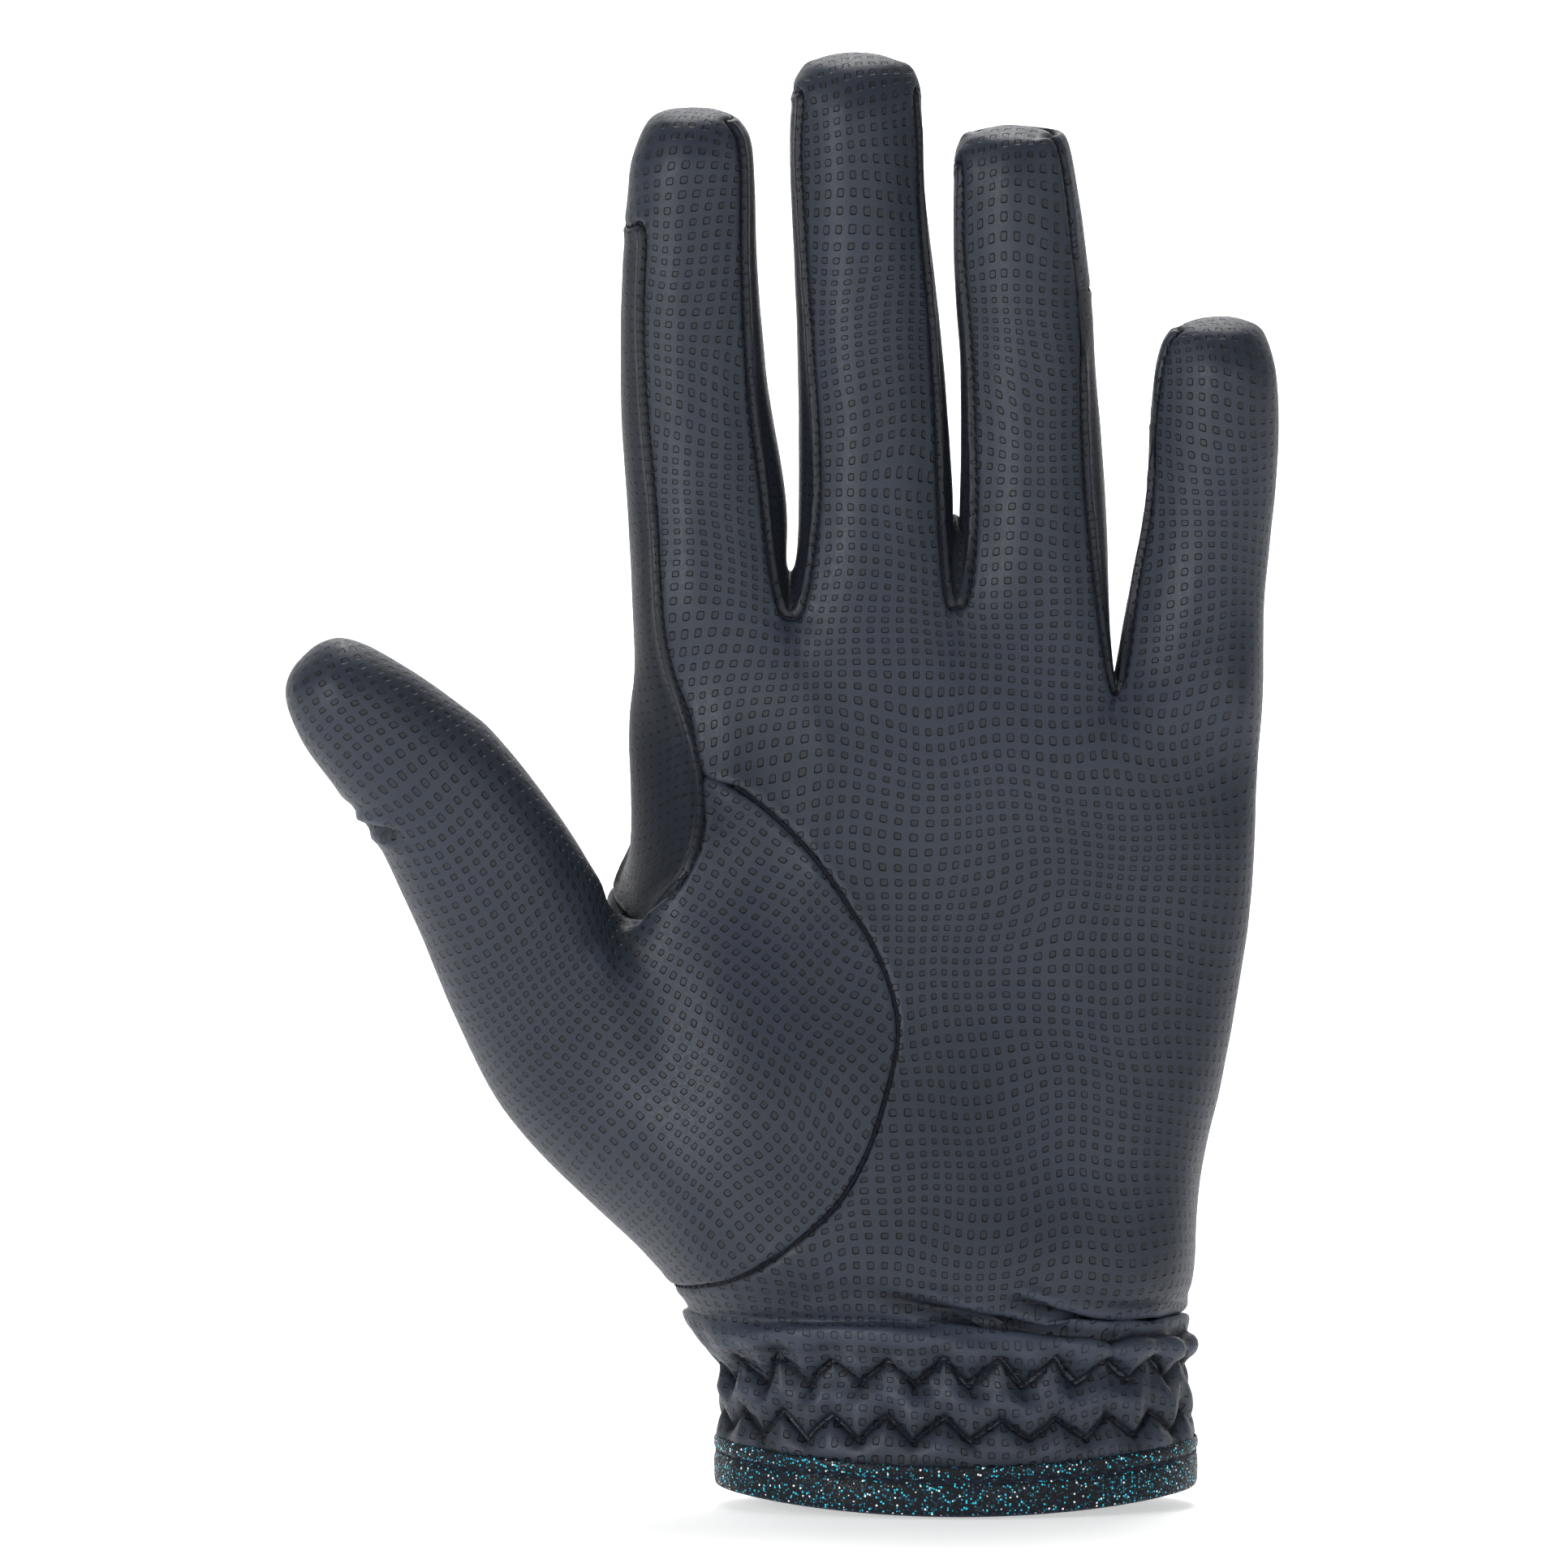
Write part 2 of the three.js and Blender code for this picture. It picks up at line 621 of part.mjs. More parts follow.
// Slides points of the thenar zone onto the thumb's seam, so that the seam runs along edges, and gives each
// face of the zone to the thumb or to the palm.
function cutThumbSeam(mesh) {
  const places = thumbSeam.map(({ x, z }) => new THREE.Vector2(x * palmWidth, z * palmLength));
  const line = new THREE.SplineCurve(places).getSpacedPoints(80);
  const zone = mesh.faces.filter((face) => face.panel === "thenar");
  const side = new Map();
  for (const { corners } of zone) {
    for (const id of corners) side.set(id, distanceFromSeam(line, mesh.points[id]));
  }
  for (let pass = 0; pass < 4; pass++) {
    const slides = new Map();
    for (const { corners } of zone) {
      corners.forEach((a, k) => {
        const b = corners[(k + 1) % 4];
        if (side.get(a) * side.get(b) >= 0) return;
        const t = side.get(a) / (side.get(a) - side.get(b));
        const crossing = mesh.points[a].clone().lerp(mesh.points[b], t);
        const id = t < 0.5 ? a : b;
        const way = crossing.distanceTo(mesh.points[id]);
        if (!slides.has(id) || slides.get(id).way > way) slides.set(id, { way, crossing });
      });
    }
    for (const [id, { crossing }] of slides) {
      mesh.points[id].copy(crossing);
      side.set(id, 0);
    }
  }
  const ownerOf = (ids) => (ids.reduce((sum, id) => sum + side.get(id), 0) > 0 ? "thumb" : "palm");
  mesh.faces = mesh.faces.flatMap((face) => {
    if (face.panel !== "thenar") return [face];
    const { corners } = face;
    const onSeam = corners.map((id) => side.get(id) === 0);
    const k = [0, 1].find((i) => onSeam[i] && onSeam[i + 2]);
    const across = k === undefined ? 0 : side.get(corners[k + 1]) * side.get(corners[(k + 3) % 4]);
    if (across >= 0) return [{ corners, panel: ownerOf(corners) }];
    return [k, k + 2].map((start) => {
      const three = [0, 1, 2].map((i) => corners[(start + i) % 4]);
      return { corners: three, panel: ownerOf(three) };
    });
  });
}

function pointNormals(mesh) {
  const normals = mesh.points.map(() => point(0, 0, 0));
  for (const { corners } of mesh.faces) {
    const first = mesh.points[corners[0]];
    const sum = point(0, 0, 0);
    for (let k = 1; k + 1 < corners.length; k++) {
      const a = mesh.points[corners[k]].clone().sub(first);
      sum.add(a.cross(mesh.points[corners[k + 1]].clone().sub(first)));
    }
    for (const id of corners) normals[id].add(sum);
  }
  return normals.map((normal) => normal.normalize());
}

// Gathers the cuff: the cage's columns become valleys and the places between them ridges
function gather(mesh) {
  const normals = pointNormals(mesh);
  mesh.points.forEach((place, id) => {
    const way = Number.isInteger(mesh.columns[id]) ? -1 : 1;
    place.addScaledVector(normals[id], way * mesh.ribs[id] * ribDepth);
  });
}

function solidGeometry(triangles) {
  const positions = triangles.flatMap((corners) => corners.flatMap((p) => [p.x, p.y, p.z]));
  const geometry = new THREE.BufferGeometry();
  geometry.setAttribute("position", new THREE.Float32BufferAttribute(positions, 3));
  return geometry;
}

// A panel as a closed solid: its skin, the same skin one wall deeper, and a rim between them. Points along a
// seam draw back by half of the seam's gap, and those on the open hem stay.
function panelGeometry(mesh, normals, name) {
  const faces = mesh.faces.filter((face) => face.panel === name);
  const sides = new Set();
  for (const { corners } of faces) {
    corners.forEach((a, k) => sides.add(a + "_" + corners[(k + 1) % corners.length]));
  }
  const rim = [...sides]
    .map((side) => side.split("_").map(Number))
    .filter(([a, b]) => !sides.has(b + "_" + a));
  const inward = new Map();
  for (const [a, b] of rim) {
    if (mesh.edges.get(edgeKey(a, b)).faces.length === 1) continue;
    const along = mesh.points[b].clone().sub(mesh.points[a]).normalize();
    for (const id of [a, b]) {
      if (!inward.has(id)) inward.set(id, point(0, 0, 0));
      inward.get(id).add(new THREE.Vector3().crossVectors(normals[id], along).normalize());
    }
  }
  const outer = new Map();
  const inner = new Map();
  for (const id of new Set(faces.flatMap((face) => face.corners))) {
    const place = mesh.points[id].clone();
    if (inward.has(id)) place.addScaledVector(inward.get(id).normalize(), seamGap / 2);
    outer.set(id, place);
    inner.set(id, place.clone().addScaledVector(normals[id], -wall));
  }
  const triangles = [];
  for (const { corners } of faces) {
    for (let k = 1; k + 1 < corners.length; k++) {
      const [a, b, c] = [corners[0], corners[k], corners[k + 1]];
      triangles.push([outer.get(a), outer.get(b), outer.get(c)]);
      triangles.push([inner.get(a), inner.get(c), inner.get(b)]);
    }
  }
  for (const [a, b] of rim) {
    triangles.push([outer.get(b), outer.get(a), inner.get(a)]);
    triangles.push([outer.get(b), inner.get(a), inner.get(b)]);
  }
  return solidGeometry(triangles);
}

// The tape folded round the hem: one section carried round the cuff's outline
function bindingGeometry() {
  const hem = cuffRows[0];
  const radiusY = (cuffDepth * hem.deep) / 2;
  const base = hem.at * palmLength;
  const near = bindingClearance;
  const far = bindingClearance + bindingThickness;
  const top = bindingHeight - far;
  const groove = 0.7 * bindingHeight - far;
  const bevel = 0.6;
  // Way out from the leather's outer face, and height above the hem
  const section = [
    [near, -near],
    [near, top],
    [far, top],
    [far, groove + bevel],
    [far - bindingGroove, groove],
    [far, groove - bevel],
    [far, bevel - far],
    [far - bevel, -far],
    [-far - wall, -far],
    [-far - wall, top],
    [-near - wall, top],
    [-near - wall, -near],
  ];
  const steps = 2 * COLUMNS;
  const line = hemCurve(hem.wide, hem.deep, hem.shift).getSpacedPoints(steps).slice(0, steps);
  const rings = line.map((p, i) => {
    const along = line[(i + 1) % steps].clone().sub(line[(i + steps - 1) % steps]).normalize();
    const z = base - hemDrop(p.y, radiusY);
    return section.map(([out, up]) => point(p.x + along.y * out, p.y - along.x * out, z + up));
  });
  const triangles = [];
  rings.forEach((ring, i) => {
    const next = rings[(i + 1) % steps];
    ring.forEach((corner, k) => {
      const after = (k + 1) % ring.length;
      triangles.push([corner, next[after], next[k]], [corner, ring[after], next[after]]);
    });
  });
  return solidGeometry(triangles);
}

buildCage();
fitCage(cage);
const skin = subdivide(cage);
cutThumbSeam(skin);
gather(skin);
const skinNormals = pointNormals(skin);
skin.edges = connect(skin).edges;

const glove = new THREE.Group();

function addNode(name, geometry, color, roughness) {
  const material = new THREE.MeshStandardMaterial({ color, roughness, metalness: 0 });
  const mesh = new THREE.Mesh(geometry, material);
  mesh.name = name;
  glove.add(mesh);
}

for (const name of ["palm", "back", "thumb"]) {
  addNode(name, panelGeometry(skin, skinNormals, name), "#3f444e", 0.55);
}
for (const name of ["index_side", "gusset_index_middle", "gusset_middle_ring", "gusset_ring_little"]) {
  addNode(name, panelGeometry(skin, skinNormals, name), "#2b3039", 0.6);
}
addNode("hem_binding", bindingGeometry(), "#14242c", 0.4);

export default glove;
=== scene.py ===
# %% [markdown]
# # A riding glove of embossed synthetic leather
#
# The glove is cut from a few leather panels: a palm that also covers the fronts of the fingers, a back, a
# thumb, a side panel for the index finger, and three gussets between the fingers. The wrist is gathered by
# two rows of zigzag stitching, and a glittering tape is folded round the hem. The CAD model gives each
# panel as a thin coarse solid in its worn form. Here each panel becomes soft leather: it is smoothed,
# pinched at its seams, quilted at the wrist and creased, and its grain is embossed by the material.

from math import cos, pi, radians, sin

import bmesh
import bpy
import numpy as np
from mathutils import Matrix, Vector, kdtree, noise
from mathutils.bvhtree import BVHTree


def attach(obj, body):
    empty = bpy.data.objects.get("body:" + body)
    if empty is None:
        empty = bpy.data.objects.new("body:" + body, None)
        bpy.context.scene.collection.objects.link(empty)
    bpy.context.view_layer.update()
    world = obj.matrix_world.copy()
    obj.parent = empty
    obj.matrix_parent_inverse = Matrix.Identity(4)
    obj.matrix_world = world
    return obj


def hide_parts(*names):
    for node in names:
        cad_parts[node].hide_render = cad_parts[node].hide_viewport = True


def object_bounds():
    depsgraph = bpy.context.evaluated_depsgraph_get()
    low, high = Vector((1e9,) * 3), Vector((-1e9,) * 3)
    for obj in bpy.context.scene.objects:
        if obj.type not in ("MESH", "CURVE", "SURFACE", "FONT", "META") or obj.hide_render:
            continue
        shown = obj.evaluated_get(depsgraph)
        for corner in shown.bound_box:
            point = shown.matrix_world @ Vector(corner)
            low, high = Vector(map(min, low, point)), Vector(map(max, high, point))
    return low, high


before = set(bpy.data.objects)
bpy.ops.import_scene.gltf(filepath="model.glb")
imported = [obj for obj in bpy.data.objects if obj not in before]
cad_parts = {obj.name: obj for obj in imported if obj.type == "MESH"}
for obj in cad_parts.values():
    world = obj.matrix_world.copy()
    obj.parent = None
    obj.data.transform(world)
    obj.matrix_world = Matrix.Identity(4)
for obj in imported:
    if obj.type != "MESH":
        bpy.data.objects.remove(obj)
cad_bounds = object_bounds()
MM = 0.001
print("CAD nodes:", sorted(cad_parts))

# %% [markdown]
# ## Camera
#
# The glove is seen straight on, from a camera level with its middle and about a metre away. The frame is
# 232 mm wide where the glove stands, so the lens follows from the distance. A camera further away would
# flatten the bow of the hem, and a nearer one would enlarge the thumb, which reaches forward.

# %% Place the camera
PHOTO_SIDE = 1932
FRAME_WIDTH = 231.84 * MM
EYE = Vector((-25.4 * MM, -1.05, 106.1 * MM))
SENSOR = 36
camera_data = bpy.data.cameras.new("camera")
camera_data.sensor_width = SENSOR
camera_data.lens = SENSOR * -EYE.y / FRAME_WIDTH
camera = bpy.data.objects.new("camera", camera_data)
camera.location = EYE
camera.rotation_euler = (radians(90), 0, 0)
bpy.context.scene.collection.objects.link(camera)
bpy.context.scene.camera = camera
print(f"lens {camera_data.lens:.0f} mm")

# %% [markdown]
# ## From a coarse CAD panel to a cage for smooth leather
#
# A CAD node is a heap of loose triangles. Catmull-Clark subdivision makes smooth leather of it, but only
# from four-sided faces, so a copy is merged and its triangles are joined in pairs. Each face then learns
# which part of the leather it belongs to: the outside that shows, the inside towards the hand, or the cut
# edge between them. Cut edges are told by their short sides, which are exactly as long as the leather is
# thick.

# %% Copy a node and sort its faces
WALL = 1.2 * MM
TINY = 0.001 * MM
OUTSIDE, INSIDE, CUT_EDGE = 0, 1, 2


def read_node(node):
    mesh = bmesh.new()
    mesh.from_mesh(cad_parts[node].data)
    bmesh.ops.remove_doubles(mesh, verts=mesh.verts, dist=TINY)
    return mesh


def is_wall_long(edge):
    return abs(edge.calc_length() - WALL) < TINY


def join_pairs(mesh):
    """Makes four-sided faces of triangles, the cut edge's first, so that they stay upright."""
    diagonals = [
        edge
        for edge in mesh.edges
        if all(face.material_index == CUT_EDGE for face in edge.link_faces) and not is_wall_long(edge)
    ]
    bmesh.ops.dissolve_edges(mesh, edges=diagonals)
    triangles = [face for face in mesh.faces if face.material_index != CUT_EDGE]
    bmesh.ops.join_triangles(
        mesh,
        faces=triangles,
        cmp_materials=True,
        angle_face_threshold=radians(60),
        angle_shape_threshold=radians(75),
    )


def connected_groups(faces):
    """The faces in groups that hang together by edges, the largest group first."""
    left = set(faces)
    groups = []
    while left:
        group = [left.pop()]
        for face in group:
            for other in (other for edge in face.edges for other in edge.link_faces):
                if other in left:
                    left.remove(other)
                    group.append(other)
        groups.append(group)
    return sorted(groups, key=lambda group: -sum(face.calc_area() for face in group))


def sort_faces(mesh, outward):
    """Keeps outside, inside or cut edge as each face's material slot."""
    cut = {face for face in mesh.faces if any(is_wall_long(edge) for edge in face.edges)}
    groups = connected_groups(set(mesh.faces) - cut)
    skins = groups[:2]
    facing = [sum((f.normal * f.calc_area() for f in skin), Vector()).dot(outward) for skin in skins]
    if facing[0] < facing[1]:
        skins.reverse()
    for face in mesh.faces:
        face.material_index = CUT_EDGE
    for slot, skin in zip((OUTSIDE, INSIDE), skins):
        for face in skin:
            face.material_index = slot
    # An edge inside a skin can happen to be as long as the wall: such a group touches one skin alone
    for group in connected_groups(cut):
        around = {other for face in group for edge in face.edges for other in edge.link_faces}
        slots = {other.material_index for other in around - set(group)}
        if len(slots) == 1:
            for face in group:
                face.material_index = min(slots)
    join_pairs(mesh)
    return [len(group) for group in groups], len(cut)


# Name, CAD node, the way the panel mostly faces, the side on which its grain is set upright, and the way
# that is up there
PANELS = [
    ("palm_leather", "palm", (0, -1, 0), (0, -1, 0), (0, 0, 1)),
    ("back_leather", "back", (0, 1, 0), (0, 1, 0), (0, 0, 1)),
    ("thumb_leather", "thumb", (-1, 0, 0), (0, -1, 0), (-0.66, 0, 0.75)),
    ("index_side_leather", "index_side", (-1, 0, 0), (-1, 0, 0), (0, 0, 1)),
    ("index_middle_gusset", "gusset_index_middle", (0, 0, 1), (1, 0, 0), (0, 0, 1)),
    ("middle_ring_gusset", "gusset_middle_ring", (0, 0, 1), (1, 0, 0), (0, 0, 1)),
    ("ring_little_gusset", "gusset_ring_little", (0, 0, 1), (1, 0, 0), (0, 0, 1)),
]
cages = {}
for name, node, outward, _, _ in PANELS:
    cages[name] = read_node(node)
    groups, cut_count = sort_faces(cages[name], Vector(outward))
    print(name, len(cages[name].faces), "faces, skins of", groups, "and", cut_count, "on the cut edge")

# %% [markdown]
# ## Flattening the leather for its grain
#
# The grain is an embossed grid that was pressed into the flat hide before the panels were cut, so it has to
# follow each panel round fingers and folds. Unwrapping lays the outside flat, as the cutter's pattern was.
# The map is then turned upright and scaled to real size: one unit of it is one step of the grid, 1.9 mm.

# %% Unwrap each panel at real scale
GRAIN_STEP = 1.9 * MM
GRAIN_MAP = "grain"


def make_object(name, mesh_data):
    piece = bpy.data.objects.new(name, mesh_data)
    bpy.context.scene.collection.objects.link(piece)
    return piece


UNWRAP_PASSES = {"palm_leather": 700, "back_leather": 200}
USUAL_PASSES = 30
TURNED_THAT_WAY = 0.4
THUMB_TIP = Vector((-90 * MM, 0, 127 * MM))
THUMB_ROOT = Vector((-57 * MM, 0, 84 * MM))


def behind_thumb(edge):
    """Whether an edge lies on the line down the middle of the thumb's hidden side."""
    across = (THUMB_TIP - THUMB_ROOT).cross(Vector((0, 1, 0)))
    sides = [(face.calc_center_median() - THUMB_ROOT).dot(across) > 0 for face in edge.link_faces]
    return len(sides) == 2 and sides[0] != sides[1] and sum(face.normal.y for face in edge.link_faces) > 0.1


def cut_pattern(piece):
    """Marks the borders of the outside as the pattern's cuts, and creases them for the subdivision."""
    mesh = bmesh.new()
    mesh.from_mesh(piece.data)
    if piece.name == "thumb_leather":
        for edge in mesh.edges:
            edge.seam = behind_thumb(edge)
    crease = mesh.edges.layers.float.new("crease_edge")
    for edge in mesh.edges:
        if len({face.material_index for face in edge.link_faces}) > 1:
            edge.seam = True
            edge[crease] = 1
    mesh.to_mesh(piece.data)
    mesh.free()


def unwrap(piece, passes):
    for other in bpy.context.selected_objects:
        other.select_set(False)
    bpy.context.view_layer.objects.active = piece
    piece.select_set(True)
    piece.data.uv_layers.new(name=GRAIN_MAP)
    bpy.ops.object.mode_set(mode="EDIT")
    bpy.ops.mesh.select_all(action="SELECT")
    bpy.ops.uv.unwrap(method="MINIMUM_STRETCH", iterations=passes, margin=0)
    bpy.ops.object.mode_set(mode="OBJECT")


def flat_area(points):
    """The area of a polygon in the flat map."""
    ahead = np.roll(points, -1, axis=0)
    return abs(np.sum(points[:, 0] * ahead[:, 1] - points[:, 1] * ahead[:, 0])) / 2


def set_upright(piece, facing, up):
    """Turns the flat map so that its grid stands upright on the given side, and gives it its real size."""
    mesh, layer = piece.data, piece.data.uv_layers[GRAIN_MAP].data
    facing, up = Vector(facing), Vector(up)
    right = up.cross(facing)
    flat = np.array([item.uv[:] for item in layer])
    spots, marks, real_area, map_area = [], [], 0, 0
    for polygon in mesh.polygons:
        if polygon.material_index != OUTSIDE:
            continue
        loops = list(polygon.loop_indices)
        real_area += polygon.area
        map_area += flat_area(flat[loops])
        if polygon.normal.dot(facing) > TURNED_THAT_WAY:
            corners = [mesh.vertices[mesh.loops[i].vertex_index].co for i in loops]
            marks += [complex(co.dot(right), co.dot(up)) for co in corners]
            spots += [complex(*flat[i]) for i in loops]
    spots, marks = np.array(spots), np.array(marks)
    turn = np.sum(np.conj(spots - spots.mean()) * (marks - marks.mean()))
    turn *= np.sqrt(real_area / map_area) / GRAIN_STEP / abs(turn)
    moved = (flat[:, 0] + 1j * flat[:, 1] - spots.mean()) * turn
    layer.foreach_set("uv", np.column_stack([moved.real, moved.imag]).ravel())
    return real_area


pieces = {}
for name, node, _, facing, up in PANELS:
    data = bpy.data.meshes.new(name)
    cages[name].to_mesh(data)
    cages[name].free()
    pieces[name] = make_object(name, data)
    cut_pattern(pieces[name])
    unwrap(pieces[name], UNWRAP_PASSES.get(name, USUAL_PASSES))
    area = set_upright(pieces[name], facing, up)
    print(f"{name}: {area * 1e4:.0f} square centimetres of leather")

# %% [markdown]
# ## Smooth leather
#
# Subdivision pulls a surface inside its cage, by a quarter of a millimetre on a finger. So the cage is
# first moved outwards until the smooth surface passes through the CAD's own points. The cut edges are
# creased, which keeps them crisp: their softness is shaped afterwards, as a pinch along each seam.

# %% Fit the cage and subdivide it
SMOOTH_LEVELS = 2


def coordinates(mesh):
    co = np.empty(len(mesh.vertices) * 3)
    mesh.vertices.foreach_get("co", co)
    return co.reshape(-1, 3)


def set_coordinates(mesh, co):
    mesh.vertices.foreach_set("co", np.asarray(co, dtype=np.float32).ravel())
    mesh.update()


def baked_mesh(piece):
    """The piece's mesh with its modifiers applied."""
    graph = bpy.context.evaluated_depsgraph_get()
    return bpy.data.meshes.new_from_object(piece.evaluated_get(graph), depsgraph=graph)


def smooth_piece(piece, levels, passes=10):
    """Subdivides a piece whose cage is first fitted in that many passes. Returns the largest miss in mm."""
    modifier = piece.modifiers.new("Smooth", "SUBSURF")
    modifier.levels = modifier.render_levels = 1
    target = coordinates(piece.data)
    for _ in range(passes):
        reached = baked_mesh(piece)
        set_coordinates(piece.data, coordinates(piece.data) + target - coordinates(reached)[: len(target)])
        bpy.data.meshes.remove(reached)
    modifier.levels = modifier.render_levels = levels
    smooth = baked_mesh(piece)
    miss = np.abs(coordinates(smooth)[: len(target)] - target).max() / MM
    piece.modifiers.remove(modifier)
    piece.data = smooth
    return miss


for piece in pieces.values():
    miss = smooth_piece(piece, SMOOTH_LEVELS)
    print(f"{piece.name}: {len(piece.data.polygons)} faces, at most {miss:.3f} mm from the CAD's points")

# %% [markdown]
# ## Where the panels meet
#
# A seam runs wherever the borders of two panels lie side by side. The borders are walked point by point,
# and each point looks for a neighbour on another panel: their middle is a point of the seam. The open hem
# has no neighbour, so it drops out by itself. These lines later carry the thread.

# %% Find the seams
SEAM_REACH = 0.7 * MM


def outside_normals(mesh):
    """Each vertex's normal from the outside faces alone, and whether it has any."""
    count = len(mesh.polygons)
    slots, sizes = np.empty(count, np.int32), np.empty(count, np.int32)
    areas, normals = np.empty(count), np.empty(count * 3)
    corners = np.empty(len(mesh.loops), np.int32)
    mesh.polygons.foreach_get("material_index", slots)
    mesh.polygons.foreach_get("loop_total", sizes)
    mesh.polygons.foreach_get("area", areas)
    mesh.polygons.foreach_get("normal", normals)
    mesh.loops.foreach_get("vertex_index", corners)
    weighted = normals.reshape(-1, 3) * np.where(slots == OUTSIDE, areas, 0)[:, None]
    total = np.zeros((len(mesh.vertices), 3))
    np.add.at(total, corners, np.repeat(weighted, sizes, axis=0))
    length = np.linalg.norm(total, axis=1)
    return total / np.maximum(length, 1e-12)[:, None], length > 0


def border_loops(mesh_data):
    """The outline of the outside, as loops of vertex numbers."""
    mesh = bmesh.new()
    mesh.from_mesh(mesh_data)
    beside = {}
    for edge in mesh.edges:
        if {face.material_index for face in edge.link_faces} == {OUTSIDE, CUT_EDGE}:
            a, b = (vert.index for vert in edge.verts)
            beside.setdefault(a, []).append(b)
            beside.setdefault(b, []).append(a)
    mesh.free()
    left = set(beside)
    loops = []
    while left:
        loop = [min(left)]
        left.remove(loop[0])
        while ahead := [i for i in beside[loop[-1]] if i in left]:
            loop.append(ahead[0])
            left.remove(ahead[0])
        loops.append(loop)
    return loops


def make_tree(points):
    tree = kdtree.KDTree(len(points))
    for i, point in enumerate(points):
        tree.insert(point, i)
    tree.balance()
    return tree


borders = []
for rank, piece in enumerate(pieces.values()):
    normals, _ = outside_normals(piece.data)
    co = coordinates(piece.data)
    for loop in border_loops(piece.data):
        borders.append((rank, [(Vector(co[i]), Vector(normals[i])) for i in loop]))
border_points = [(rank, place, normal) for rank, loop in borders for place, normal in loop]
border_tree = make_tree([place for _, place, _ in border_points])


def seam_point(rank, place, normal):
    """The middle between a border point and its neighbour on a later panel, or None."""
    near = border_tree.find_range(place, SEAM_REACH)
    others = [(distance, i) for _, i, distance in near if border_points[i][0] > rank]
    if not others:
        return None
    _, other, other_normal = border_points[min(others)[1]]
    return (place + other) / 2, (normal + other_normal).normalized()


def split_runs(points):
    """The stretches without a None, joined over the loop's start."""
    if None in points:
        gap = points.index(None)
        points = points[gap:] + points[:gap]
    else:
        points = points + points[:1]
    runs, run = [], []
    for point in points + [None]:
        if point is None:
            runs.append(run)
            run = []
        else:
            run.append(point)
    return [run for run in runs if len(run) > 3]


seams = []
for rank, loop in borders:
    seams += split_runs([seam_point(rank, place, normal) for place, normal in loop])
seam_length = sum((b[0] - a[0]).length for run in seams for a, b in zip(run, run[1:]))
print(len(seams), f"seams, {seam_length / MM:.0f} mm of them")

# %% [markdown]
# ## Round the wrist
#
# The gathered wrist is nearly an ellipse, so a place on it is given by how far round it is from the middle
# of the front, and by its height. The zigzag is a triangle wave in these two. There are 22 teeth round the
# wrist. Each tooth is a little taller or lower than the next, because a sewing machine feeds gathered
# leather unevenly.

# %% Ways to point at the skin
WRIST_HALF_WIDTH, WRIST_HALF_DEPTH, WRIST_CENTRE = 34.3 * MM, 21.6 * MM, -0.6 * MM
TEETH = 22
HALF_TOOTH = 1.75
TOOTH_UNEVENNESS = 0.16
FIRST_PEAK = -1.7 * MM
ZIGZAG_STEP = 0.25 * MM
PIXEL = FRAME_WIDTH / PHOTO_SIDE
rng = np.random.default_rng(7)
tooth_heights = 1 + rng.uniform(-TOOTH_UNEVENNESS, TOOTH_UNEVENNESS, (2, TEETH))
turns = np.linspace(-pi, pi, 2001)
steps = np.hypot(WRIST_HALF_WIDTH * np.cos(turns), WRIST_HALF_DEPTH * np.sin(turns)) * (turns[1] - turns[0])
arcs = np.cumsum(steps)
arcs -= np.interp(0, turns, arcs)
TOOTH = (arcs[-1] - arcs[0]) / TEETH


def zigzag_height(turn, row):
    """Height of a row of zigzag at a turn round the wrist. Row 0 is the upper one."""
    teeth = (np.interp(turn, turns, arcs) - FIRST_PEAK) / TOOTH
    wave = 1 - 4 * np.abs(teeth - np.round(teeth))
    tall = tooth_heights[row][np.round(teeth).astype(int) % TEETH]
    middle = (20.1 + 0.6 * np.cos(turn) + 0.3 * np.sin(turn), 13.2 - 0.5 * np.cos(turn))[row]
    return (middle + HALF_TOOTH * tall * wave) * MM


def join_outsides():
    """One search tree over the outsides of all panels."""
    corners, faces = [], []
    for piece in pieces.values():
        start = len(corners)
        corners += [vertex.co.copy() for vertex in piece.data.vertices]
        outside = [polygon for polygon in piece.data.polygons if polygon.material_index == OUTSIDE]
        faces += [[start + i for i in polygon.vertices] for polygon in outside]
    return BVHTree.FromPolygons(corners, faces)


def at_wrist(tree, turn, height):
    """The skin's place and normal at a turn and a height, or the nearest ones where a seam's gap lies."""
    centre = Vector((WRIST_CENTRE, 0, height))
    out = Vector((WRIST_HALF_WIDTH * sin(turn), -WRIST_HALF_DEPTH * cos(turn), 0))
    place, normal, _, _ = tree.ray_cast(centre + 2 * out, -out, 2 * out.length)
    if place is None:
        place, normal, _, _ = tree.find_nearest(centre + out)
    return place, normal


def at_pixel(tree, across, down):
    """The skin's place and normal behind a place in the front view, or the nearest ones beside it."""
    half = PHOTO_SIDE / 2
    target = Vector((EYE.x + (across - half) * PIXEL, 0, EYE.z + (half - down) * PIXEL))
    place, normal, _, _ = tree.ray_cast(EYE, (target - EYE).normalized())
    if place is None:
        place, normal, _, _ = tree.find_nearest(target)
    return place, normal


zigzag_turns = np.interp(np.arange(arcs[0], arcs[-1], ZIGZAG_STEP), arcs, turns)


def zigzag_runs(tree):
    """Places and normals along the upper and the lower row."""
    return [
        [at_wrist(tree, turn, float(zigzag_height(turn, row))) for turn in zigzag_turns] for row in range(2)
    ]


skin_tree = join_outsides()
zigzag_tree = make_tree([place for run in zigzag_runs(skin_tree) for place, _ in run])
print(f"{TEETH} teeth of {TOOTH / MM:.1f} mm")

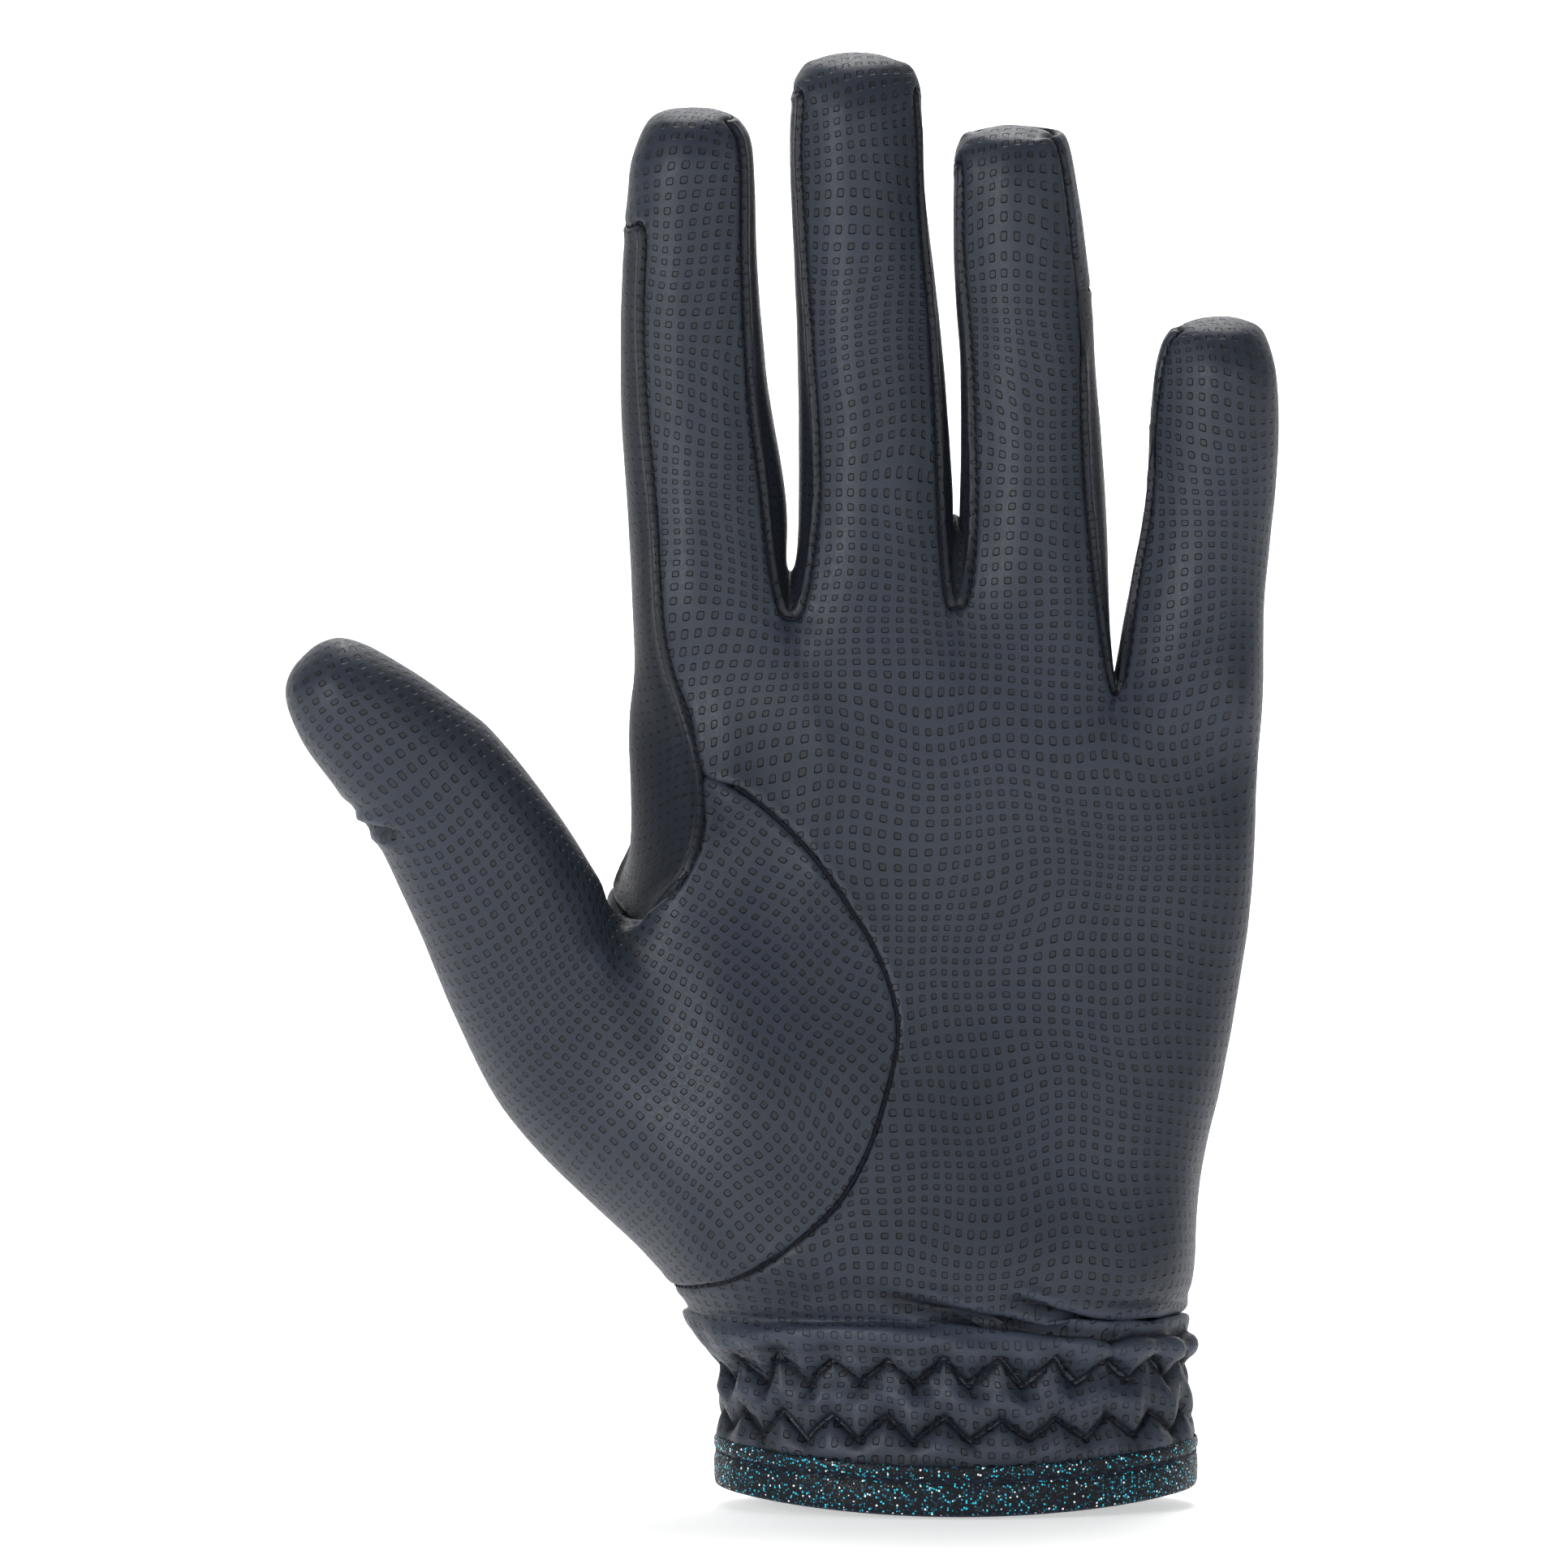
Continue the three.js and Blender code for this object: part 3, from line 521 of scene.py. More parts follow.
# %% [markdown]
# ## Folds
#
# The worn leather folds where the wrist begins, most deeply on the little finger's side, and the thumb has
# a notch on its outer side. A fold is a line on the skin with a depth, a width, and a lip above and below.
# The lines were placed in the front view, and the deepest ones run on round the side of the wrist.

# %% Lay the fold lines on the skin
# Places in the front view, then turns and heights further round the wrist, depth, width, and the lips above
# and below, in mm
FOLDS = [
    ([(1240, 1604), (1272, 1610), (1312, 1617), (1360, 1624), (1409, 1624), (1452, 1618)],
     [(1.7, 28.6), (2.0, 30.0)], 1.5, 1.0, 0.7, 0.5),
    ([(1075, 1597), (1143, 1612), (1217, 1629), (1290, 1641), (1363, 1650), (1448, 1646)],
     [(1.7, 24.6), (1.9, 25.0)], 1.0, 1.1, 0.4, 0.5),
    ([(935, 1604), (1000, 1592), (1080, 1592), (1150, 1600)], [], 0.35, 2.6, 0.1, 0.2),
    ([(905, 1662), (960, 1664), (1040, 1662), (1120, 1668), (1200, 1672)], [], 0.5, 1.3, 0.5, 0.1),
    ([(426, 984), (437, 1001), (453, 1016), (474, 1026), (500, 1030)], [], 0.9, 1.1, 0.5, 0.35),
    ([(1010, 752), (985, 765), (950, 768)], [], 0.2, 1.6, 0.1, 0.1),
    ([(748, 1100), (772, 1160), (792, 1205)], [], 0.5, 3.0, 0.1, 0.3),
]
FOLD_STEPS = 24
fold_lines = []
for pixels, further, *_ in FOLDS:
    line = [at_pixel(skin_tree, *pixel)[0] for pixel in pixels]
    line += [at_wrist(skin_tree, turn, height * MM)[0] for turn, height in further]
    fine = [a.lerp(b, i / FOLD_STEPS) for a, b in zip(line, line[1:]) for i in range(FOLD_STEPS)]
    fine += line[-1:]
    fold_lines.append((make_tree(fine), fine))
print(len(fold_lines), "folds")

# %% [markdown]
# ## Finer mesh where something fine happens
#
# Two levels of subdivision give faces of about a millimetre, too coarse for a stitch line but fine for a
# palm. Splitting the faces again only near the seams, the zigzag and the wrist keeps each piece within its
# limit.

# %% Refine near seams and at the wrist
WRIST_TOP = 38 * MM
HEM_STRIP = 6 * MM
LONGEST_STEP = 4 * MM
# Further than anything on the glove, in metres
FAR = 1.0
# How near to a seam, and how near to the zigzag, the faces are split. The first round takes the whole wrist
ROUNDS = ((1.6 * MM, FAR), (0.7 * MM, 0.9 * MM))


def distances(tree, co, chosen):
    """Each chosen point's distance from the nearest point in the tree."""
    found = np.full(len(co), FAR)
    for i in np.flatnonzero(chosen):
        found[i] = tree.find(co[i])[2]
    return found


def own_border_tree(piece):
    """A search tree over the borders where the piece is sewn, without the open hem."""
    co = coordinates(piece.data)
    points = []
    for loop in border_loops(piece.data):
        for a, b in zip(loop, loop[1:] + loop[:1]):
            a, b = Vector(co[a]), Vector(co[b])
            if max(a.z, b.z) > HEM_STRIP and (a - b).length < LONGEST_STEP:
                points += [a.lerp(b, k / 5) for k in range(5)]
    return make_tree(points)


def refine(piece, near):
    """Splits the outside faces that touch a chosen vertex."""
    mesh = bmesh.new()
    mesh.from_mesh(piece.data)
    chosen = set()
    for face in mesh.faces:
        if face.material_index == OUTSIDE and any(near[vert.index] for vert in face.verts):
            chosen.update(edge.index for edge in face.edges)
    mesh.edges.ensure_lookup_table()
    edges = [mesh.edges[i] for i in sorted(chosen)]
    bmesh.ops.subdivide_edges(mesh, edges=edges, cuts=1, use_grid_fill=True)
    mesh.to_mesh(piece.data)
    mesh.free()


for piece in pieces.values():
    border = own_border_tree(piece)
    for seam_reach, stitch_reach in ROUNDS:
        co = coordinates(piece.data)
        _, outside = outside_normals(piece.data)
        wrist = outside & (co[:, 2] < WRIST_TOP)
        near = distances(border, co, outside) < seam_reach
        near |= wrist & (distances(zigzag_tree, co, wrist) < stitch_reach)
        refine(piece, near)
    triangles = sum(polygon.loop_total - 2 for polygon in piece.data.polygons)
    print(f"{piece.name}: {triangles} triangles")

# %% [markdown]
# ## Round fingertips
#
# The CAD closes each finger with a few large faces, and the smooth surface still shows where they meet. So
# the points of each dome are eased towards the mean of their neighbours, many times over. The easing fades
# out before the seams, so that the pieces still meet. The outer and the inner skin are eased alike, which
# keeps the wall's thickness. What a dome loses in height it then gets back.

# %% Ease the domes
EASING_PASSES = 45
EASING = 0.6
TIP_START = 75 * MM


def ramp(value, start, end):
    """0 before start, 1 after end, and smooth between them."""
    t = np.clip((value - start) / (end - start), 0, 1)
    return t * t * (3 - 2 * t)


def ease_tips(piece, axis):
    """Rounds the domes at the ends of an axis and returns the furthest move in mm."""
    mesh = piece.data
    co = coordinates(mesh)
    ends = np.empty(len(mesh.edges) * 2, np.int32)
    mesh.edges.foreach_get("vertices", ends)
    first, second = ends[::2], ends[1::2]
    count = np.maximum(np.bincount(ends, minlength=len(co)), 1)

    def neighbours(values):
        total = np.zeros_like(values)
        np.add.at(total, first, values[second])
        np.add.at(total, second, values[first])
        return total / (count[:, None] if values.ndim == 2 else count)

    normals = np.array([vertex.normal for vertex in mesh.vertices])
    high = co @ np.array(axis) > TIP_START
    share = ((np.abs(normals @ np.array(axis)) > 0.35) & high).astype(float)
    for _ in range(3):
        share = np.minimum(1, 3 * neighbours(share) + share)
    for _ in range(8):
        share = 0.5 * share + 0.5 * neighbours(share)
    border = distances(own_border_tree(piece), co, share > 0.001) / MM
    share *= ramp(border, 1.5, 4)
    before = co.copy()
    for _ in range(EASING_PASSES):
        co += EASING * share[:, None] * (neighbours(co) - co)
    top = (share > 0.95) & (normals @ np.array(axis) > 0.9)
    sunk = np.mean((before - co)[top] @ np.array(axis))
    co += share[:, None] * sunk * np.array(axis)
    set_coordinates(mesh, co)
    return np.linalg.norm(co - before, axis=1).max() / MM


thumb_axis = (THUMB_TIP - THUMB_ROOT).normalized()
for name, axis in (("palm_leather", Vector((0, 0, 1))), ("thumb_leather", thumb_axis)):
    print(f"{name}: tips eased by at most {ease_tips(pieces[name], axis):.2f} mm")

# %% [markdown]
# ## Shaping the leather
#
# Every outside point is moved along its normal by the sum of a few simple reliefs: slow waves of worn
# leather, a pinch along each seam, the quilting between the zigzag rows, and the folds. All panels use the
# same functions of place, so they still meet at their seams. A gusset is turned over at its edge, so it has
# a round roll beside the seam; the palm and the back are only pinched.

# %% Move the outside into relief
ROLLED = ("index_side_leather", "index_middle_gusset", "middle_ring_gusset", "ring_little_gusset")


def bump(distance, centre, width):
    """A smooth rise that is 1 at centre and fades over width. Lengths in mm."""
    return np.exp(-(((distance - centre) / width) ** 2))


def waves(co, size, seed):
    """Slow noise between about -0.5 and 0.5, with hills of that size in mm."""
    scale = 1 / (size * MM)
    shift = Vector((seed, 2.3 * seed, -1.7 * seed))
    return np.array([noise.noise(Vector(p) * scale + shift) for p in co])


def seam_relief(distance, rolled):
    """How high the leather stands at a distance from its seam, in mm: pinched, then swelling or rolled."""
    if rolled:
        return (
            -0.35 * bump(distance, 0, 0.3)
            + 0.34 * bump(distance, 0.8, 0.45)
            - 0.15 * bump(distance, 2.2, 0.8)
        )
    return -0.4 * bump(distance, 0, 0.28) + 0.12 * bump(distance, 1.1, 0.6)


def quilt_relief(co):
    """Grooves under the zigzag rows and puffs between them, in mm."""
    height = co[:, 2] / MM
    distance = distances(zigzag_tree, co, np.ones(len(co), bool)) / MM
    strength = ramp(height, 7, 10) * (1 - ramp(height, 24, 29))
    puff = 1 - np.exp(-((distance / 1.7) ** 1.5))
    uneven = 1 + 0.5 * waves(co, 5, 3)
    return strength * (1.25 * puff * uneven - 0.5) - 0.8 * bump(distance, 0, 0.5)


def fold_relief(co, fold, line):
    """A fold's groove and the lips beside it, in mm, fading out at the fold's ends."""
    tree, points = line
    _, _, depth, width, above, below = fold
    found = np.zeros(len(co))
    reach = 5 * width * MM
    low = min(point.z for point in points) - reach
    high = max(point.z for point in points) + reach
    for i in np.flatnonzero((co[:, 2] > low) & (co[:, 2] < high)):
        nearest, k, distance = tree.find(co[i])
        if distance > reach:
            continue
        along = k / (len(points) - 1)
        fade = min(1, 4.5 * along, 4.5 * (1 - along)) ** 0.8
        lip = above if co[i][2] > nearest.z else below
        distance /= MM
        crest = 1.8 * lip * bump(distance, 1.9 * width, 1.1 * width)
        found[i] = fade * (crest - 1.55 * depth * bump(distance, 0, width))
    return found


# A seam's pinch fades out where the seam ends on a fingertip
FINGERTIP_HEIGHT = 150 * MM
run_ends = [run[k][0] for run in seams for k in (0, -1)]
end_tree = make_tree([end for end in run_ends if end.z > FINGERTIP_HEIGHT])
FAR_FROM_SEAM = 9.0


def shape_outside(piece):
    """Moves the outside, and keeps each point's distance from the seam and its folds and gathers for the
    material's painted shade and highlight.
    """
    co = coordinates(piece.data)
    normals, outside = outside_normals(piece.data)
    spots = co[outside]
    seam = distances(own_border_tree(piece), co, outside)[outside] / MM
    relief = 0.25 * waves(spots, 16, 1) + 0.06 * waves(spots, 5, 2)
    from_end = distances(end_tree, co, outside)[outside] / MM
    uneven = 1 + 0.3 * waves(spots, 1.7, 5)
    relief += seam_relief(seam, piece.name in ROLLED) * uneven * ramp(from_end, 1, 8)
    gathers = np.zeros(len(spots))
    low = spots[:, 2] < WRIST_TOP
    gathers[low] = quilt_relief(spots[low])
    for fold, line in zip(FOLDS, fold_lines):
        gathers += fold_relief(spots, fold, line)
    co[outside] += normals[outside] * (relief + gathers)[:, None] * MM
    set_coordinates(piece.data, co)
    for label, values, elsewhere in (("seam_distance", seam, FAR_FROM_SEAM), ("gathers", gathers, 0.0)):
        attribute = piece.data.attributes.new(label, "FLOAT", "POINT")
        everywhere = np.full(len(co), elsewhere, np.float32)
        everywhere[outside] = values
        attribute.data.foreach_set("value", everywhere)
    return gathers.min(), gathers.max()


def shade_smooth(piece):
    """Smooth shading, with the cut edges kept sharp."""
    mesh = bmesh.new()
    mesh.from_mesh(piece.data)
    for face in mesh.faces:
        face.smooth = True
    for edge in mesh.edges:
        edge.smooth = len({face.material_index for face in edge.link_faces}) == 1
    mesh.to_mesh(piece.data)
    mesh.free()


for piece in pieces.values():
    low, high = shape_outside(piece)
    shade_smooth(piece)
    print(f"{piece.name}: folds and gathers from {low:.2f} to {high:.2f} mm")

# %% [markdown]
# ## Materials
#
# A Blender material is a tree of nodes. These helpers make a node, set its values and link its inputs in
# one line, so that the recipes further on read like sums.

# %% Helpers for node materials
def new_material(name):
    """A material, its tree of nodes and its main shader."""
    material = bpy.data.materials.new(name)
    material.use_nodes = True
    tree = material.node_tree
    return material, tree, tree.nodes["Principled BSDF"]


def add(tree, kind, inputs=(), **settings):
    """A node with its settings, its inputs linked from sockets or set to values."""
    node = tree.nodes.new(kind)
    for key, value in settings.items():
        setattr(node, key, value)
    for key, value in dict(inputs).items():
        if isinstance(value, bpy.types.NodeSocket):
            tree.links.new(value, node.inputs[key])
        else:
            node.inputs[key].default_value = value
    return node


def calc(tree, operation, *values):
    """One sum on numbers, as a socket."""
    return add(tree, "ShaderNodeMath", enumerate(values), operation=operation).outputs[0]


def vector(tree, operation, *values):
    """One sum on vectors, as a node."""
    return add(tree, "ShaderNodeVectorMath", enumerate(values), operation=operation)


def span(tree, value, start, end, low=0.0, high=1.0):
    """value carried smoothly from start..end to low..high."""
    inputs = {"Value": value, "From Min": start, "From Max": end, "To Min": low, "To Max": high}
    return add(tree, "ShaderNodeMapRange", inputs, interpolation_type="SMOOTHSTEP").outputs[0]


def cloud(tree, place, scale, detail=2.0):
    """Soft noise of that many clouds to a unit."""
    inputs = {"Vector": place, "Scale": scale, "Detail": detail}
    return add(tree, "ShaderNodeTexNoise", inputs)


def blend(tree, factor, first, second):
    """The first colour, giving way to the second as the factor rises to 1."""
    node = add(tree, "ShaderNodeMix", data_type="RGBA")
    for socket, value in ((node.inputs[0], factor), (node.inputs[6], first), (node.inputs[7], second)):
        if isinstance(value, bpy.types.NodeSocket):
            tree.links.new(value, socket)
        else:
            socket.default_value = value
    return node.outputs[2]

# %% [markdown]
# ## Embossed leather
#
# The embossing is a grid of small rounded squares, a millimetre wide, pressed in every 1.9 mm. A square is
# a place where the fourth-power distance from the middle of its cell is small, which needs only a fraction,
# two multiplications and a root. The grid wanders like the real one, because the flat hide was stretched,
# so a slow noise shifts the map first. The pressed squares are darker, with a nearly black outline.
# Shade is painted into the seams' grooves and the grooves of the folds and quilting, and a highlight onto
# the crests of the puffs and lips.

# %% The leather
def embossing(tree, closeness, flatness):
    """How far inside a pressed square a point is, the square's outline, and a number for each square."""
    flat = add(tree, "ShaderNodeUVMap", uv_map=GRAIN_MAP).outputs[0]
    flat = vector(tree, "MULTIPLY", flat, (closeness, closeness, 0)).outputs[0]
    drift = cloud(tree, flat, 0.06, 1.0).outputs["Color"]
    drift = vector(tree, "SUBTRACT", drift, (0.5, 0.5, 0.5)).outputs[0]
    drift = vector(tree, "MULTIPLY", drift, (3.5, 8, 0)).outputs[0]
    place = vector(tree, "ADD", flat, drift).outputs[0]
    cell = vector(tree, "FLOOR", place).outputs[0]
    square = add(tree, "ShaderNodeTexWhiteNoise", {"Vector": cell}, noise_dimensions="2D").outputs["Value"]
    across = vector(tree, "SUBTRACT", vector(tree, "FRACTION", place).outputs[0], (0.5, 0.5, 0)).outputs[0]
    across = vector(tree, "MULTIPLY", across, (1, flatness, 0)).outputs[0]
    across = vector(tree, "MULTIPLY", across, across).outputs[0]
    across = vector(tree, "MULTIPLY", across, across).outputs[0]
    sum_of_fourths = vector(tree, "DOT_PRODUCT", across, (1, 1, 0)).outputs["Value"]
    reach = calc(tree, "POWER", sum_of_fourths, 0.25)
    reach = calc(tree, "ADD", reach, calc(tree, "MULTIPLY", square, 0.04))
    pressed = span(tree, reach, 0.29, 0.21)
    outline = calc(tree, "MULTIPLY", span(tree, reach, 0.32, 0.27), span(tree, reach, 0.17, 0.23))
    return pressed, outline, square


def leather(name, colour, pressed_colour, outline_and_shade_colour, depth, closeness=1.0, flatness=1.0):
    material, tree, shader = new_material(name)
    pressed, outline, square = embossing(tree, closeness, flatness)
    place = add(tree, "ShaderNodeTexCoord").outputs["Object"]
    seam = add(tree, "ShaderNodeAttribute", attribute_name="seam_distance").outputs["Fac"]
    slow = cloud(tree, place, 45, 2.0).outputs["Fac"]
    fine = cloud(tree, place, 2600, 3.0).outputs["Fac"]
    tone = blend(tree, span(tree, slow, 0.35, 0.65), [0.86 * c for c in colour[:3]] + [1], colour)
    inked = calc(tree, "MULTIPLY", pressed, calc(tree, "ADD", calc(tree, "MULTIPLY", square, 0.5), 0.35))
    tone = blend(tree, inked, tone, pressed_colour)
    tone = blend(tree, calc(tree, "MULTIPLY", outline, 0.6), tone, outline_and_shade_colour)
    # Painted shade: the leather darkens in the groove of each seam.
    tone = blend(tree, span(tree, seam, 0.35, 0.1, 0, 0.9), tone, outline_and_shade_colour)
    gathers = add(tree, "ShaderNodeAttribute", attribute_name="gathers").outputs["Fac"]
    # Painted shade: the leather darkens in the grooves of the folds and of the quilting under the zigzag.
    tone = blend(tree, span(tree, gathers, -0.15, -1.0, 0, 0.7), tone, outline_and_shade_colour)
    # Painted highlight: the leather lightens on the crests of the puffs and of the fold lips.
    tone = blend(tree, span(tree, gathers, 0.15, 0.9, 0, 0.5), tone, [1.9 * c for c in colour[:3]] + [1])
    tree.links.new(tone, shader.inputs["Base Color"])
    tree.links.new(span(tree, fine, 0.3, 0.7, 0.42, 0.58), shader.inputs["Roughness"])
    shader.inputs["IOR"].default_value = 1.34
    height = calc(tree, "SUBTRACT", calc(tree, "MULTIPLY", fine, 0.08), pressed)
    relief = add(tree, "ShaderNodeBump", {"Height": height, "Distance": depth, "Strength": 1.0})
    tree.links.new(relief.outputs[0], shader.inputs["Normal"])
    return material


def plain_cloth(name, colour, roughness, grain):
    """A matt stuff with a fine irregular grain, for the inside, the cut edges and the thread."""
    material, tree, shader = new_material(name)
    place = add(tree, "ShaderNodeTexCoord").outputs["Object"]
    fine = cloud(tree, place, grain, 4.0).outputs["Fac"]
    dark = [0.55 * c for c in colour[:3]] + [1]
    tree.links.new(blend(tree, span(tree, fine, 0.3, 0.7), dark, colour), shader.inputs["Base Color"])
    tree.links.new(span(tree, fine, 0.3, 0.7, roughness - 0.1, roughness + 0.1), shader.inputs["Roughness"])
    shader.inputs["Specular IOR Level"].default_value = 0.25
    relief = add(tree, "ShaderNodeBump", {"Height": fine, "Distance": 0.06 * MM, "Strength": 1.0})
    tree.links.new(relief.outputs[0], shader.inputs["Normal"])
    return material


palm_stuff = leather("embossed leather", (0.0190, 0.0243, 0.0368, 1), (0.0120, 0.0132, 0.0155, 1),
                     (0.002, 0.003, 0.005, 1), 0.22 * MM)
# The gussets and the index finger's side take a darker copy of the leather, with its own finer grain: its
# darker colours are painted shade between the fingers and on the sides.
gusset_stuff_in_painted_shade = leather("gusset leather in painted shade", (0.0085, 0.0112, 0.0185, 1), (0.002, 0.0025, 0.004, 1),
                       (0.001, 0.0015, 0.003, 1), 0.24 * MM, closeness=1.25, flatness=2.2)
lining = plain_cloth("knitted backing", (0.020, 0.022, 0.028, 1), roughness=0.85, grain=1800)
raw_edge = plain_cloth("raw edge", (0.010, 0.012, 0.018, 1), roughness=0.8, grain=2400)
for name, piece in pieces.items():
    piece.data.materials.clear()
    for material in (gusset_stuff_in_painted_shade if name in ROLLED else palm_stuff, lining, raw_edge):
        piece.data.materials.append(material)
print(len(bpy.data.materials), "materials")

# %% [markdown]
# ## The glittering tape round the hem
#
# The tape's section and its run round the hem are right in the CAD, only hard-edged. A smoothed copy rounds
# its folded edges by itself, with no fitting to the points this time. A groove is pressed in for the
# stitches, with small puckers in it, and a slight waviness all round makes it cloth.

# %% Make the tape
HEM_HEIGHT, HEM_DIP = 3.6 * MM, 2.5 * MM
HEM_HALF_WIDTH, HEM_HALF_DEPTH = 34.8, 23
GROOVE_HEIGHT, GROOVE_DEPTH = 4.15, 0.16


def hem_height(co):
    """The hem's own height below each point: it hangs lower in front."""
    turn = np.arctan2(co[:, 0], -co[:, 1] * HEM_HALF_WIDTH / HEM_HALF_DEPTH)
    return HEM_HEIGHT - HEM_DIP * np.where(co[:, 1] < 0, np.cos(turn) ** 2, 0)


cage = read_node("hem_binding")
bmesh.ops.join_triangles(
    cage, faces=cage.faces, angle_face_threshold=radians(60), angle_shape_threshold=radians(80)
)
data = bpy.data.meshes.new("hem_tape")
cage.to_mesh(data)
cage.free()
tape = make_object("hem_tape", data)
smooth_piece(tape, 3, passes=0)
co = coordinates(tape.data)
rise = (co[:, 2] - hem_height(co)) / MM
outward = np.column_stack([co[:, 0] / HEM_HALF_WIDTH**2, co[:, 1] / HEM_HALF_DEPTH**2, np.zeros(len(co))])
outward /= np.linalg.norm(outward, axis=1)[:, None]
groove = bump(rise, GROOVE_HEIGHT, 0.55)
puckers = waves(co, 1.6, 11) * (0.05 + 0.08 * groove) + 0.1 * waves(co, 9, 12)
set_coordinates(tape.data, co + outward * (puckers - GROOVE_DEPTH * groove)[:, None] * MM)
attribute = tape.data.attributes.new("rise", "FLOAT", "POINT")
attribute.data.foreach_set("value", rise.astype(np.float32))
tape.data.polygons.foreach_set("use_smooth", [True] * len(tape.data.polygons))
print(len(tape.data.polygons), "faces in the tape")

# %% [markdown]
# Glitter is a layer of tiny flakes that lie at all angles. A Voronoi texture gives each flake a cell of its
# own colour number. Most are nearly black, some are petrol blue, and a few are bright turquoise or white:
# partly the flakes' own colour and partly painted glints. Flakes are shiny, while the glue between them is
# dull.

# %% The glitter
def glitter(name):
    material, tree, shader = new_material(name)
    place = add(tree, "ShaderNodeTexCoord").outputs["Object"]
    flakes = add(tree, "ShaderNodeTexVoronoi", {"Vector": place, "Scale": 3000, "Randomness": 1.0})
    number = add(tree, "ShaderNodeSeparateColor", {"Color": flakes.outputs["Color"]})
    inside = span(tree, flakes.outputs["Distance"], 0.55, 0.35)
    ramp_node = add(tree, "ShaderNodeValToRGB", {"Fac": number.outputs[0]})
    # The two brightest colours are partly the flakes' own colour and partly painted glints.
    stops = [(0.0, (0.003, 0.004, 0.007)), (0.48, (0.004, 0.010, 0.016)), (0.6, (0.008, 0.045, 0.07)),
             (0.74, (0.012, 0.17, 0.26)), (0.85, (0.03, 0.6, 0.8)), (0.96, (0.9, 1.0, 1.0))]
    ramp_node.color_ramp.interpolation = "CONSTANT"
    while len(ramp_node.color_ramp.elements) < len(stops):
        ramp_node.color_ramp.elements.new(0.5)
    for element, (position, colour) in zip(ramp_node.color_ramp.elements, stops):
        element.position = position
        element.color = (*colour, 1)
    rise_here = add(tree, "ShaderNodeAttribute", attribute_name="rise").outputs["Fac"]
    tone = blend(tree, inside, (0.002, 0.003, 0.006, 1), ramp_node.outputs[0])
    # No flakes lie under the fold or in the groove
    bare = calc(tree, "MAXIMUM", span(tree, rise_here, -0.55, -0.85),
                calc(tree, "MULTIPLY", span(tree, rise_here, 3.8, 4.0), span(tree, rise_here, 4.5, 4.3)))
    tone = blend(tree, bare, tone, (0.006, 0.010, 0.024, 1))
    tree.links.new(tone, shader.inputs["Base Color"])
    tree.links.new(span(tree, inside, 0, 1, 0.65, 0.3), shader.inputs["Roughness"])
    shader.inputs["Specular IOR Level"].default_value = 0.2
    tilt = calc(tree, "MULTIPLY", number.outputs[1], inside)
    relief = add(tree, "ShaderNodeBump", {"Height": tilt, "Distance": 0.05 * MM, "Strength": 0.8})
    tree.links.new(relief.outputs[0], shader.inputs["Normal"])
    return material


tape.data.materials.clear()
tape.data.materials.append(glitter("glitter tape"))
print("glitter on", tape.name)

# %% [markdown]
# ## Thread
#
# Navy thread closes every seam, runs in two zigzag rows round the wrist and in the groove of the tape. A
# stitch is a tiny pill that dives into the leather at both ends. Under the stitches of a seam lies a strip
# of backing, a soft dark tube that fills the gap between two panels.

# %% Sew
THREAD_WIDTH = 0.5 * MM
END_MARGIN = 1.5 * MM


def evenly(run, step):
    """Places and normals at equal steps along a run."""
    places = np.array([place for place, _ in run])
    normals = np.array([normal for _, normal in run])
    way = np.concatenate([[0], np.cumsum(np.linalg.norm(np.diff(places, axis=0), axis=1))])
    at = np.arange(END_MARGIN, way[-1] - END_MARGIN, step)
    return [
        np.column_stack([np.interp(at, way, values[:, k]) for k in range(3)]) for values in (places, normals)
    ]


def sew(name, runs, step, length, width, sink, lean=0.0):
    """Stitches along the runs: pills of that length and width, sunk by sink, turned out of line by lean."""
    pill = bmesh.new()
    bmesh.ops.create_uvsphere(pill, u_segments=6, v_segments=5, radius=1)
    one = bpy.data.meshes.new(name + "_one")
    mesh = bmesh.new()
    for run in runs:
        places, normals = evenly(run, step)
        for k in range(1, len(places) - 1):
            along = Vector(places[k + 1] - places[k - 1]).normalized()
            out = Vector(normals[k]).normalized()
            side = out.cross(along).normalized()
            along = (along + side * (lean + rng.uniform(-0.12, 0.12))).normalized()
            side = out.cross(along).normalized()
            size = Vector((width / 2, width / 2, length / 2)) * rng.uniform(0.88, 1.1)
            turn = Matrix([out * size.x, side * -size.y, along * size.z]).transposed().to_4x4()
            place = Matrix.Translation(Vector(places[k]) - out * (sink + rng.uniform(-0.03, 0.05) * MM))
            pill.to_mesh(one)
            one.transform(place @ turn)
            mesh.from_mesh(one)
    bmesh.ops.recalc_face_normals(mesh, faces=mesh.faces)
    for face in mesh.faces:
        face.smooth = True
    data = bpy.data.meshes.new(name)
    mesh.to_mesh(data)
    mesh.free()
    pill.free()
    bpy.data.meshes.remove(one)
    return make_object(name, data)


def tube(name, runs, radius, sink):
    """A closed tube under each of the runs."""
    curve = bpy.data.curves.new(name, "CURVE")
    curve.dimensions = "3D"
    curve.bevel_depth = radius
    curve.bevel_resolution = 1
    curve.use_fill_caps = True
    for run in runs:
        places, normals = evenly(run, 0.9 * MM)
        spline = curve.splines.new("POLY")
        spline.points.add(len(places) - 1)
        for point, place, normal in zip(spline.points, places, normals):
            point.co = (*(place - normal * sink), 1)
    piece = make_object(name, curve)
    data = baked_mesh(piece)
    bpy.data.objects.remove(piece)
    data.name = name
    data.polygons.foreach_set("use_smooth", [True] * len(data.polygons))
    return make_object(name, data)


